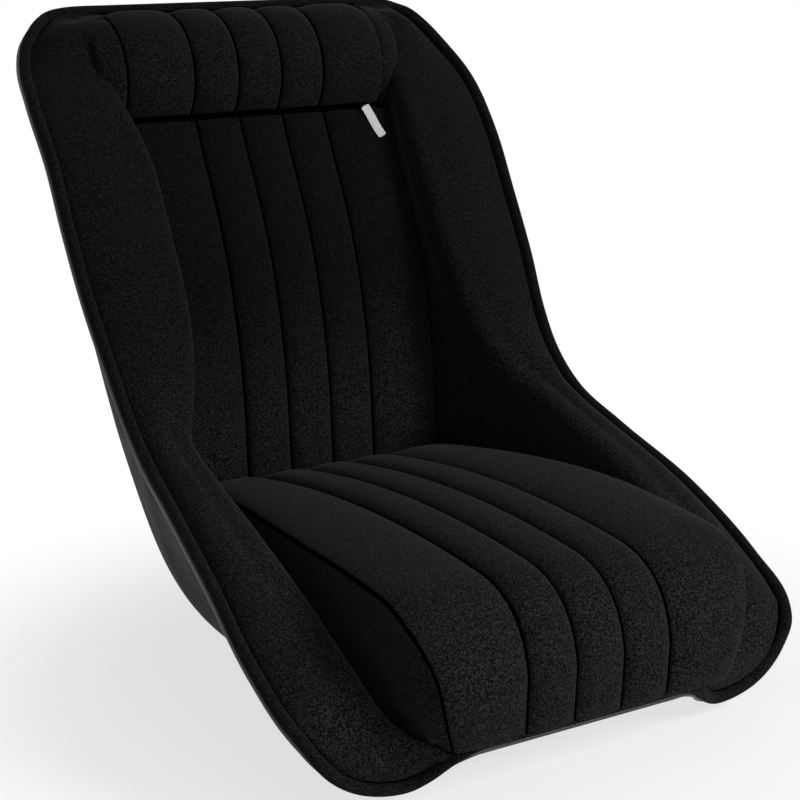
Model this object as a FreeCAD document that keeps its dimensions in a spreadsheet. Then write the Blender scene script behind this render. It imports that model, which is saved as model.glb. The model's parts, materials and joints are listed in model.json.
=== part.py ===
import FreeCAD, Part
import Sketcher
import math
import os

# Fixed-back bucket seat in cloth: a moulded shell, padded wings, a fluted back panel and head
# roll, and a loose fluted cushion. Millimetres, +Z up, the seat faces -Y, and the origin is the
# middle of the four floor fixings on the underside.

Vector = FreeCAD.Vector

# Each rib is one cross-section of the shell. Its plane holds the X direction and runs from the
# middle of the floor or back (depth, height) to the rim (half width, depth, height). floor_half
# is the half width of the flat, lean is how far the side leans out at the rim in degrees, and
# crest_half and crest_rise place the inner top corner of the padded wing.
RIB_FIELDS = ("floor_depth", "floor_height", "rim_half", "rim_depth", "rim_height",
              "floor_half", "lean", "crest_half", "crest_rise")
RIBS = (
    ("toe", -188, 14, 264, -190, 84, 120, 40, 184, 14),
    ("front", -130, 5, 270, -138, 116, 112, 30, 192, 20),
    ("thigh", -50, 4, 265, -50, 164, 98, 22, 197, 20),
    ("seat", 50, 4, 254, 50, 203, 90, 18, 196, 15),
    ("hip", 150, 6, 248, 115, 231, 92, 19, 193, 8),
    ("tuck", 243, 42, 247, 136, 247, 94, 21, 186, 2),
    ("waist", 283, 126, 247, 154, 265, 118, 17, 174, 2),
    ("lumbar", 291, 215, 249, 180, 301, 146, 10, 158, 4),
    ("chest", 306, 302, 254, 211, 354, 152, 10, 148, 6),
    ("blade", 333, 383, 256, 249, 419, 152, 10, 145, 6),
    ("shoulder", 372, 460, 256, 283, 478, 152, 10, 147, 6),
    ("neck", 398, 525, 255, 328, 530, 152, 12, 158, 4),
    ("head", 410, 574, 246, 371, 563, 152, 16, 165, 0),
    ("crown", 417, 597, 229, 393, 587, 150, 26, 174, -6),
)

SIZES = (
    ("shell_wall", 4),
    ("soft_gap", 0.3),
    ("lip_depth", -229),
    ("lip_height", 42),
    ("lip_half", 112),
    ("toe_dip_half", 164),
    ("toe_dip_depth", -207),
    ("toe_dip_height", 16),
    ("crown_height", 608),
    ("crown_rise", 11),
    ("crown_half", 165),
    ("roll_radius", 5),
    ("rim_drop", 8),
    ("welt_radius", 2.6),
    ("edge_ease", 1),
    ("roll_corner_ease", 0.6),
    ("welt_corner_ease", 2),
    ("foot_half_seat", 183),
    ("foot_half_back", 157),
    ("wing_skin", 4),
    ("wing_crown", 5),
    ("wing_hollow", 7),
    ("wing_clear", 0.9),
    ("crest_radius", 24),
    ("panel_half", 155),
    ("panel_foam", 32),
    ("panel_skin", 8),
    ("flute_pitch", 50),
    ("flute_crown", 8),
    ("wide_flute_crown", 9),
    ("panel_bottom", 118),
    ("head_roll_reach", 63),
    ("head_roll_rise", 61),
    ("head_roll_depth", 404),
    ("head_roll_drop", 61),
    ("head_roll_half", 150),
    ("head_roll_top_angle", 100),
    ("head_roll_seam_angle", 217),
    ("head_roll_skin", 7),
    ("head_cap_wall", 3),
    ("pad_top", 29),
    ("pad_front", -176),
    ("pad_rear", 190),
    ("cushion_rear_depth", 229),
    ("cushion_rear_height", 149),
    ("cushion_mid_depth", 28),
    ("cushion_mid_height", 178),
    ("cushion_knee_depth", -176),
    ("cushion_knee_height", 175),
    ("cushion_front_depth", -252),
    ("cushion_front_height", 104),
    ("cushion_hem_depth", -249),
    ("cushion_hem_height", 51),
    ("cushion_half_rear", 149),
    ("cushion_half_knee", 178),
    ("cushion_half_hem", 140),
    ("cushion_base_half_rear", 118),
    ("cushion_base_half_front", 152),
    ("cushion_base_rear", 202),
    ("cushion_base_front", -196),
    ("cushion_nose_depth", -238),
    ("cushion_nose_height", 67),
    ("cushion_skin", 8),
    ("cushion_side_skin", 3),
    ("cushion_base_skin", 2),
    ("strip_thick", 2),
    ("strip_wide", 50),
    ("strip_long", 250),
    ("strip_half", 80),
    ("strip_middle", 20),
    ("bolt_half", 95),
    ("bolt_spacing_long", 250),
    ("bolt_hole", 6.8),
    ("foot_wide", 48),
    ("foot_long", 310),
    ("foot_top", 12.5),
    ("plate_wide", 36),
    ("plate_long", 290),
    ("plate_thick", 3),
    ("nut_barrel", 11),
    ("nut_flange", 22),
    ("nut_flange_thick", 2),
    ("tag_wide", 12),
    ("tag_long", 38),
    ("tag_thick", 1),
    ("tag_middle", 133),
    ("tag_slant", 14),
)

os.makedirs("parts", exist_ok=True)
doc = FreeCAD.newDocument("RacingSeat")
sheet = doc.addObject("Spreadsheet::Sheet", "Dimensions")


def write_sheet():
    """One row for each driving dimension: its name, its value and the alias."""
    rows = list(SIZES)
    for rib in RIBS:
        for field, value in zip(RIB_FIELDS, rib[1:]):
            rows.append((rib[0] + "_" + field, value))
    for row, (alias, value) in enumerate(rows, start=1):
        sheet.set("A%d" % row, alias)
        sheet.set("B%d" % row, str(value))
        sheet.setAlias("B%d" % row, alias)
    doc.recompute()


def size(alias):
    return float(sheet.get(alias))


write_sheet()

WALL = size("shell_wall")
GAP = size("soft_gap")
LAST = len(RIBS) - 1
STEPS_PER_RIB = 2


def through(points):
    """Smooth curve through the points, one unit of its parameter apart."""
    curve = Part.BSplineCurve()
    curve.interpolate(Points=points, Parameters=[float(n) for n in range(len(points))])
    return curve


WAIST_HEIGHT = size("waist_floor_height")
BACK_STRETCH = ((size("crown_height") - size("crown_rise") - WAIST_HEIGHT)
                / (size("crown_floor_height") - WAIST_HEIGHT))
BACK_RIBS = [rib[0] for rib in RIBS][[rib[0] for rib in RIBS].index("waist") + 1:]


def rib_value(rib, field):
    """One value of a rib. The ribs above the waist rise with the height of the crown."""
    value = size(rib + "_" + field)
    if rib in BACK_RIBS and field in ("floor_height", "rim_height"):
        return WAIST_HEIGHT + (value - WAIST_HEIGHT) * BACK_STRETCH
    return value


def rib_values(*fields):
    return [[rib_value(rib[0], field) for field in fields] for rib in RIBS]


FLOOR_LINE = through([Vector(0, y, z) for y, z in rib_values("floor_depth", "floor_height")])
RIM_LINE = through([Vector(*row) for row in rib_values("rim_half", "rim_depth", "rim_height")])
SHAPE_LINE = through([Vector(*row, n) for n, row in enumerate(rib_values("floor_half", "lean"))])
CREST_LINE = through([Vector(*row, n) for n, row in enumerate(rib_values("crest_half", "crest_rise"))])


def smooth(fraction):
    held = min(max(fraction, 0.0), 1.0)
    return held * held * (3 - 2 * held)


def left_of(way):
    return Vector(-way.y, way.x, 0)


def unit(vector):
    return vector * (1.0 / vector.Length)


def arc_middle(start, end, turn):
    """Middle of the arc from start to end that turns left by the angle."""
    return (start + end) * 0.5 - left_of(end - start) * (0.5 * math.tan(turn / 4))


def arc_edge(start, middle, end):
    return Part.Arc(start, middle, end).toShape()


def line_edge(start, end):
    return Part.LineSegment(start, end).toShape()


def make_wire(edges):
    return Part.Wire(Part.__sortEdges__(edges))


def make_solid(shape):
    """The one solid of a shape, with its faces turned outward."""
    solid = shape.Solids[0] if shape.Solids else Part.makeSolid(shape)
    if solid.Volume < 0:
        solid.reverse()
    return solid


def loft(wires, straight=False):
    """Closed solid through the wires, running smoothly or straight from one to the next."""
    return make_solid(Part.makeLoft(wires, True, straight))


class Rib:
    """A cross-section of the shell and wings: x is across, t runs from the floor to the rim."""

    def __init__(self, u):
        self.floor = FLOOR_LINE.value(u)
        rim = RIM_LINE.value(u)
        reach = Vector(0, rim.y, rim.z) - self.floor
        self.up = unit(reach)
        self.height = reach.Length
        shape = SHAPE_LINE.value(u)
        crest = CREST_LINE.value(u)
        lean = math.radians(shape.y)
        self.start = Vector(shape.x, 0, 0)
        self.end = Vector(rim.x, self.height - size("rim_drop"), 0)
        self.start_way = Vector(1, 0, 0)
        self.end_way = Vector(math.sin(lean), math.cos(lean), 0)
        self.crest = Vector(crest.x, self.height + crest.y, 0)
        self.make_arcs()
        back_share = smooth((u - SEAT_END) / (BACK_START - SEAT_END))
        foot = size("foot_half_seat") + back_share * (size("foot_half_back") - size("foot_half_seat"))
        self.foot = min(foot, self.join.x - 14)
        self.hollow = 1 + back_share * (size("wing_hollow") - 1)

    def make_arcs(self):
        """Join the flat floor to the rim by two arcs that run into each other."""
        ways = self.start_way + self.end_way
        gap = self.end - self.start
        bend = 2 * (1 - self.start_way.dot(self.end_way))
        along = gap.dot(ways)
        reach = (math.sqrt(along * along + bend * gap.dot(gap)) - along) / bend
        low = self.start + self.start_way * reach
        high = self.end - self.end_way * reach
        self.join = (low + high) * 0.5
        self.join_way = unit(high - low)

    def arcs(self, inset):
        """Start, middle and end of both arcs, inset from the outer face of the shell."""
        found = []
        for start, start_way, end, end_way in (
                (self.start, self.start_way, self.join, self.join_way),
                (self.join, self.join_way, self.end, self.end_way)):
            middle = arc_middle(start, end, start_way.getAngle(end_way))
            found.append((start + left_of(start_way) * inset,
                          middle + left_of(unit(end - start)) * inset,
                          end + left_of(end_way) * inset))
        return found

    def sample(self, inset, count):
        """Points on both arcs, the first where the flat floor ends and the last at the rim."""
        low, high = (arc_edge(*arc).discretize(count + 1) for arc in self.arcs(inset))
        return low + high[1:]

    def place(self, point, side=1):
        return self.floor + self.up * point.y + Vector(side * point.x, 0, 0)

    def edge(self, *points, side=1):
        placed = [self.place(point, side) for point in points]
        return line_edge(*placed) if len(placed) == 2 else arc_edge(*placed)

    def outline(self, paths, side):
        """Closed wire of the stretches, each of two points or of three on an arc."""
        return make_wire([self.edge(*path, side=side) for path in paths])


SEAT_END = 4.0
BACK_START = 7.0
TUCK = 5.0
ROW_LINE = 3
ROW_ARC = 4


def rib_range(first, last):
    count = max(2, int(math.ceil((last - first) * STEPS_PER_RIB)) + 1)
    return [first + (last - first) * n / (count - 1) for n in range(count)]


def shell_row(u, inset):
    """Half a row of points across the shell, from its middle line to its rim."""
    rib = Rib(u)
    flat = [Vector(rib.start.x * n / ROW_LINE, inset, 0) for n in range(ROW_LINE)]
    return [rib.place(point) for point in flat + rib.sample(inset, ROW_ARC)]


# Where the rim turns up round the toe, as shares of the way across and up to the side's corner.
TOE_TURN = ((0.30, 0.05), (0.54, 0.20), (0.75, 0.45), (0.90, 0.74), (1.0, 1.0))
CORNER_STEP = Vector(-6, -9, -18)


def lip_row():
    """Half the front rim: level below the cushion, dipping at the toe and up to the side."""
    corner = RIM_LINE.value(0) + CORNER_STEP
    lip = Vector(size("lip_half"), size("lip_depth"), size("lip_height"))
    dip = Vector(size("toe_dip_half"), size("toe_dip_depth"), size("toe_dip_height"))
    row = [Vector(lip.x * n / ROW_LINE, lip.y, lip.z) for n in range(ROW_LINE + 1)]
    down_steps = ROW_ARC - 1
    for n in range(1, down_steps + 1):
        share = n / down_steps
        drop = smooth(share)
        row.append(Vector(lip.x + (dip.x - lip.x) * share,
                          lip.y + (dip.y - lip.y) * drop, lip.z + (dip.z - lip.z) * drop))
    for across, rise in TOE_TURN:
        row.append(Vector(dip.x + (corner.x - dip.x) * across,
                          dip.y + (corner.y - dip.y) * rise, dip.z + (corner.z - dip.z) * rise))
    return row


CORNER_IN = 11
CORNER_DOWN = 9


def crown_row():
    """Half the top rim, level over the head and turning down at the corner."""
    last = shell_row(LAST, 0)
    corner_x = last[-1].x - CORNER_IN
    row = []
    for point in last:
        across = point.x * corner_x / last[-1].x
        turn = max(0.0, (across - size("crown_half")) / (corner_x - size("crown_half")))
        row.append(Vector(across, last[0].y + 3 + 0.7 * (point.y - last[0].y),
                          size("crown_height") - CORNER_DOWN * turn * turn))
    return row


def mirrored(row):
    return [Vector(-p.x, p.y, p.z) for p in reversed(row[1:])] + row


def grid_normal(grid, i, j):
    """Direction into the seat from one point of a grid of the outer face."""
    rows = grid[max(i - 1, 0)], grid[min(i + 1, len(grid) - 1)]
    ahead = rows[1][j] - rows[0][j]
    across = grid[i][min(j + 1, len(grid[i]) - 1)] - grid[i][max(j - 1, 0)]
    return unit(across.cross(ahead))


def shell_grids():
    """Grids of points on the outer and the inner face of the shell, with the same rows."""
    steps = rib_range(0, LAST)
    outer = [mirrored(lip_row())] + [mirrored(shell_row(u, 0)) for u in steps] + [mirrored(crown_row())]
    inner = [None] + [mirrored(shell_row(u, WALL)) for u in steps] + [None]
    for i in (0, len(outer) - 1):
        inner[i] = [point + grid_normal(outer, i, j) * WALL for j, point in enumerate(outer[i])]
    return outer, inner


def surface(grid):
    patch = Part.BSplineSurface()
    patch.interpolate(grid)
    return patch


def box(x, y, z):
    """Box between pairs of limits along each axis."""
    shape = Part.makeBox(x[1] - x[0], y[1] - y[0], z[1] - z[0])
    shape.translate(Vector(x[0], y[0], z[0]))
    return shape


def shell_skin():
    """The moulded wall alone, closed round its rim."""
    outer, inner = (surface(grid) for grid in shell_grids())
    faces = [outer.toShape(), inner.toShape()]
    ends = outer.bounds()
    inner_ends = inner.bounds()
    for which in (0, 1):
        faces.append(Part.makeRuledSurface(outer.uIso(ends[which]).toShape(),
                                           inner.uIso(inner_ends[which]).toShape()))
        faces.append(Part.makeRuledSurface(outer.vIso(ends[2 + which]).toShape(),
                                           inner.vIso(inner_ends[2 + which]).toShape()))
    sewn = Part.makeShell(faces)
    sewn.sewShape()
    return make_solid(Part.makeSolid(sewn))


BOLT_HALF = size("bolt_half")
BOLT_LONG = size("bolt_spacing_long") / 2
FOOT_TOP = size("foot_top")
PLATE_TOP = FOOT_TOP + size("plate_thick")
NUT_TOP = PLATE_TOP + size("nut_flange_thick")
SIDES = (("left", -1), ("right", 1))
BOLTS = [(x, y) for x in (-BOLT_HALF, BOLT_HALF) for y in (-BOLT_LONG, BOLT_LONG)]


def seat_shell():
    """The moulding with its two flat feet, drilled for the four fixings."""
    shape = shell_skin()
    half_wide = size("foot_wide") / 2
    half_long = size("foot_long") / 2
    for name, side in SIDES:
        middle = side * BOLT_HALF
        shape = shape.fuse(box((middle - half_wide, middle + half_wide),
                               (-half_long, half_long), (0, FOOT_TOP)))
    for x, y in BOLTS:
        shape = shape.cut(Part.makeCylinder(size("nut_barrel") / 2 + GAP, 3 * FOOT_TOP,
                                            Vector(x, y, -FOOT_TOP)))
    return make_solid(shape)


def rim_path():
    """Points along the middle of the right half of the rim, from the front to the top, each
    with its direction toward the back of the wall."""
    outer, inner = shell_grids()
    last = len(outer[0]) - 1
    middle = last // 2
    top = len(outer) - 1
    nodes = [(0, j) for j in range(middle, last)]
    nodes += [(i, last) for i in range(0, 2)]
    nodes += [(i, last) for i in range(3, top - 2, 2)]
    nodes += [(i, last) for i in range(top - 2, top)]
    nodes += [(top, j) for j in range(last, middle - 1, -1)]
    points = [(outer[i][j] + inner[i][j]) * 0.5 for i, j in nodes]
    points[0] = points[0] + Vector(GAP / 2, 0, 0)
    points[-1] = points[-1] + Vector(GAP / 2, 0, 0)
    path = []
    for n, (i, j) in enumerate(nodes):
        along = unit(points[min(n + 1, len(points) - 1)] - points[max(n - 1, 0)])
        if n in (0, len(nodes) - 1):
            along = Vector(1 if n == 0 else -1, 0, 0)
        near = [nodes[max(n - 1, 0)], (i, j), (i, j), nodes[min(n + 1, len(nodes) - 1)]]
        back = Vector(0, 0, 0)
        for a, b in near:
            back += unit(outer[a][b] - inner[a][b])
        back = unit(back - along * back.dot(along))
        path.append((points[n], back))
    return path


def even_path(step):
    """The rim path again at even steps, each point with its outward and backward direction."""
    nodes = rim_path()
    at = [0.0]
    for (a, _), (b, _) in zip(nodes, nodes[1:]):
        at.append(at[-1] + (b - a).Length)
    curve = Part.BSplineCurve()
    curve.interpolate(Points=[point for point, back in nodes], Parameters=at,
                      InitialTangent=Vector(1, 0, 0), FinalTangent=Vector(-1, 0, 0))
    count = int(at[-1] / step)
    path = []
    for n in range(count + 1):
        here = at[-1] * n / count
        k = min(sum(1 for value in at if value <= here), len(at) - 1)
        share = (here - at[k - 1]) / (at[k] - at[k - 1])
        along = unit(curve.tangent(here)[0])
        back = nodes[k - 1][1] * (1 - share) + nodes[k][1] * share
        back = unit(back - along * back.dot(along))
        path.append((curve.value(here), back.cross(along), back))
    return path


CORNER_TURN = 1.0


def cord_round_rim(radius, out_by, back_by, corner_ease):
    """A round cord along the right half of the rim, cut flat at both ends."""
    rings = []
    path = even_path(14.0)
    for n, (point, out, back) in enumerate(path):
        turn = path[max(n - 1, 0)][1].getAngle(path[min(n + 1, len(path) - 1)][1])
        at_corner = corner_ease * smooth(turn / CORNER_TURN)
        ease = size("edge_ease") + at_corner
        off_wall = (at_corner, ease) if back_by else (ease, 0)
        centre = point + out * (out_by + off_wall[0]) + back * (back_by + off_wall[1])
        ring = [centre + (out * math.cos(a) + back * math.sin(a)) * radius
                for a in [math.pi / 6 * k for k in range(12)]]
        rings.append(ring + ring[:1])
    tube = surface(rings)
    first, last, low, high = tube.bounds()
    halves = []
    for span in ((low, (low + high) / 2), ((low + high) / 2, high)):
        half = tube.copy()
        half.segment(first, last, *span)
        halves.append(half)
    faces = [half.toShape() for half in halves]
    for end in (first, last):
        faces.append(Part.Face(make_wire([half.uIso(end).toShape() for half in halves])))
    sewn = Part.makeShell(faces)
    sewn.sewShape()
    return make_solid(Part.makeSolid(sewn))


def to_left(shape):
    return shape.mirror(Vector(0, 0, 0), Vector(1, 0, 0))


class Wing:
    """The padded side at one rib: its cover outside, its foam inside, and the shell behind."""

    def __init__(self, u):
        rib = Rib(u)
        self.rib = rib
        inset = WALL + size("wing_clear") * (1 + 2 * smooth((u - 9.5) / 1.5))
        (low_start, low_middle, low_join), (join, high_middle, rim) = rib.arcs(inset)
        way = rib.end_way
        into = left_of(way)
        self.edge = rib.end + into * (WALL / 2 + size("roll_radius") + EDGE_CLEAR) + way * EDGE_UP
        self.below_roll = rim - way * 1.5
        self.join = join
        self.high_middle = high_middle
        self.low = rib.sample(inset, 24)[:25]
        self.drop = unit(self.below_roll - self.edge)

    def on_floor(self, x):
        """Point of the shell's inner face at a distance across, and where it lies in the row."""
        for n, (a, b) in enumerate(zip(self.low, self.low[1:])):
            if a.x <= x <= b.x:
                return a + (b - a) * ((x - a.x) / (b.x - a.x)), n + 1
        return self.low[-1], len(self.low) - 1

    def front_path(self, inset):
        """The padded face from the rim over the crest to the foot, inset into the foam."""
        rib = self.rib
        edge = self.edge + self.drop * inset
        crest = rib.crest
        foot_x = rib.foot
        foot, n = self.on_floor(foot_x)
        over = unit(crest - self.edge)
        down = unit(foot - crest)
        half_turn = over.getAngle(down) / 2
        radius = size("crest_radius")
        reach = min(radius * math.tan(half_turn), 0.45 * (crest - self.edge).Length,
                    0.6 * (foot - crest).Length)
        first = crest - over * reach
        second = crest + down * reach
        middle = arc_middle(first, second, 2 * half_turn)
        swell = (self.edge + first) * 0.5 - left_of(over) * size("wing_crown")
        foot_in = self.on_floor(foot_x + inset)[0]
        bow = min(rib.hollow, 0.08 * (foot - second).Length)
        hollow = (second + foot) * 0.5 + left_of(down) * (bow + inset)
        return [(edge, swell + left_of(over) * inset, first + left_of(over) * inset),
                (first + left_of(over) * inset, middle + left_of(unit(second - first)) * inset,
                 second + left_of(down) * inset),
                (second + left_of(down) * inset, hollow, foot_in)]

    def cover(self, side):
        outer = self.front_path(0)
        inner = self.front_path(size("wing_skin"))
        paths = outer + inner + [(outer[0][0], inner[0][0]), (outer[2][2], inner[2][2])]
        return self.rib.outline(paths, side)

    def foam(self, side):
        front = self.front_path(size("wing_skin") + GAP)
        foot = front[2][2]
        index = self.on_floor(foot.x)[1]
        middle = self.low[(index + len(self.low) - 1) // 2]
        paths = front + [(foot, middle, self.join), (self.join, self.high_middle, self.below_roll),
                         (self.below_roll, front[0][0])]
        return self.rib.outline(paths, side)


EDGE_CLEAR = 2.2
EDGE_UP = 5
WING_START = 0.05
WING_END = 12.7


def wing_solid(part, first, last, side):
    return loft([getattr(Wing(u), part)(side) for u in rib_range(first, last)])


def back_frame(u):
    """Origin on the outer face of the shell's middle line and the direction into the seat."""
    ahead = FLOOR_LINE.tangent(u)[0]
    return FLOOR_LINE.value(u), unit(Vector(0, -ahead.z, ahead.y))


def frame_wire(origin, ahead, paths):
    """Closed wire of stretches given as (across, ahead) pairs from an origin."""
    edges = []
    for path in paths:
        placed = [origin + Vector(x, 0, 0) + ahead * t for x, t in path]
        edges.append(line_edge(*placed) if len(placed) == 2 else arc_edge(*placed))
    return make_wire(edges)


def slab_paths(half, low, high):
    corners = [(-half, low), (half, low), (half, high), (-half, high)]
    return list(zip(corners, corners[1:] + corners[:1]))


def flute_paths(half, low, high):
    """Outline of a fluted layer: flat behind, five arcs in front that meet at the seams."""
    pitch = size("flute_pitch")
    seams = [-half, -1.5 * pitch, -0.5 * pitch, 0.5 * pitch, 1.5 * pitch, half]
    paths = [((-half, high), (-half, low)), ((-half, low), (half, low)), ((half, low), (half, high))]
    for n, (a, b) in enumerate(zip(seams, seams[1:])):
        crown = size("wide_flute_crown") if n in (0, 4) else size("flute_crown")
        paths.append(((a, high), ((a + b) / 2, high + crown), (b, high)))
    return paths


PANEL_FOAM_BACK = WALL + 2 * GAP
PANEL_FOAM_FRONT = PANEL_FOAM_BACK + size("panel_foam")
PANEL_SEAM = PANEL_FOAM_FRONT + 2 * GAP + size("panel_skin")


def back_step(height):
    """Where along the middle line the seams of the back panel reach a height."""
    low, high = TUCK, float(LAST)
    for n in range(40):
        u = (low + high) / 2
        origin, ahead = back_frame(u)
        if (origin + ahead * PANEL_SEAM).z < height:
            low = u
        else:
            high = u
    return low


def head_frame(share):
    """Back and front of the head roll from its top (0) to its lower seam (1)."""
    top = math.radians(size("head_roll_top_angle"))
    angle = top + share * (math.radians(size("head_roll_seam_angle")) - top)
    front = Vector(0, size("head_roll_depth") + size("head_roll_reach") * math.cos(angle),
                   (size("crown_height") - size("head_roll_drop")) + size("head_roll_rise") * math.sin(angle))
    origin, ahead = back_frame(LAST - 0.15 + share * (ROLL_SEAM - LAST + 0.15))
    back = origin + ahead * (WALL + GAP)
    return back, unit(front - back), (front - back).Length


ROLL_SEAM_HEIGHT = ((size("crown_height") - size("head_roll_drop"))
                    + size("head_roll_rise") * math.sin(math.radians(size("head_roll_seam_angle"))))
ROLL_SEAM = back_step(ROLL_SEAM_HEIGHT - 4)
HEAD_SHARES = [n / 10 for n in range(11)]


def panel_cover():
    wires = []
    for u in rib_range(back_step(size("panel_bottom")), ROLL_SEAM):
        origin, ahead = back_frame(u)
        wires.append(frame_wire(origin, ahead, flute_paths(size("panel_half"),
                                                           PANEL_FOAM_FRONT + 2 * GAP, PANEL_SEAM)))
    return loft(wires)


def panel_foam():
    wires = []
    for u in rib_range(back_step(size("panel_bottom")), ROLL_SEAM):
        origin, ahead = back_frame(u)
        half = size("panel_half") - 2
        back_half = min(half, SHAPE_LINE.value(u).x)
        corners = [(-back_half, PANEL_FOAM_BACK), (back_half, PANEL_FOAM_BACK),
                   (half, PANEL_FOAM_FRONT), (-half, PANEL_FOAM_FRONT)]
        wires.append(frame_wire(origin, ahead, list(zip(corners, corners[1:] + corners[:1]))))
    return loft(wires)


def head_cover():
    wires = []
    for share in HEAD_SHARES:
        back, ahead, reach = head_frame(share)
        wires.append(frame_wire(back, ahead, flute_paths(size("head_roll_half"),
                                                         reach - size("head_roll_skin"), reach)))
    return loft(wires)


def head_foam():
    wires = []
    for share in HEAD_SHARES:
        back, ahead, reach = head_frame(share)
        wires.append(frame_wire(back, ahead, slab_paths(size("head_roll_half") - GAP, 0,
                                                        reach - size("head_roll_skin") - 3 * GAP)))
    return loft(wires)


def head_cap(side):
    inner = size("head_roll_half") + GAP
    outer = inner + size("head_cap_wall")
    wires = []
    for share in HEAD_SHARES:
        back, ahead, reach = head_frame(share)
        corners = [(side * inner, 0), (side * outer, 0), (side * outer, reach), (side * inner, reach)]
        wires.append(frame_wire(back, ahead, list(zip(corners, corners[1:] + corners[:1]))))
    return loft(wires)


PAD_TOP = size("pad_top")
HOOK_TOP = PAD_TOP + size("strip_thick")
LOOP_BOTTOM = HOOK_TOP + GAP
CUSHION_BOTTOM = LOOP_BOTTOM + size("strip_thick")
CUSHION_FOAM_BOTTOM = CUSHION_BOTTOM + size("cushion_base_skin") + 3 * GAP


def base_pad():
    """Foam in the well of the shell, level on top, cut out over the fixing plates."""
    first = (size("pad_front") - FLOOR_LINE.value(0).y) / (FLOOR_LINE.value(1) - FLOOR_LINE.value(0)).y
    last = 3 + (size("pad_rear") - FLOOR_LINE.value(3).y) / (FLOOR_LINE.value(4) - FLOOR_LINE.value(3)).y
    wires = []
    for u in rib_range(first, last):
        rib = Rib(u)
        level = (PAD_TOP - rib.floor.z) / rib.up.z
        low = rib.sample(WALL + 3 * GAP, 24)
        count = next(n for n, point in enumerate(low) if point.y > level - 3 or point.x > rib.foot - 6)
        start, middle, side = low[0], low[count // 2], low[count - 1]
        brim = Vector(side.x, level, 0)
        far = [Vector(-p.x, p.y, 0) for p in (start, middle, side, brim)]
        wires.append(rib.outline([(far[3], brim), (brim, side), (side, middle, start), (start, far[0]),
                                  (far[0], far[1], far[2]), (far[2], far[3])], 1))
    pad = loft(wires)
    half_wide = size("plate_wide") / 2 + 1
    half_long = size("plate_long") / 2 + 1
    for name, side in SIDES:
        middle = side * BOLT_HALF
        half_foot = size("foot_wide") / 2 + GAP
        half_foot_long = size("foot_long") / 2 + GAP
        pad = pad.cut(box((middle - half_foot, middle + half_foot),
                          (-half_foot_long, half_foot_long), (0, FOOT_TOP + GAP)))
        pad = pad.cut(box((middle - half_wide, middle + half_wide),
                          (-half_long, half_long), (0, PLATE_TOP + GAP)))
    for x, y in BOLTS:
        pad = pad.cut(Part.makeCylinder(size("nut_flange") / 2 + 1, NUT_TOP + GAP, Vector(x, y, 0)))
    return make_solid(pad)


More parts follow.
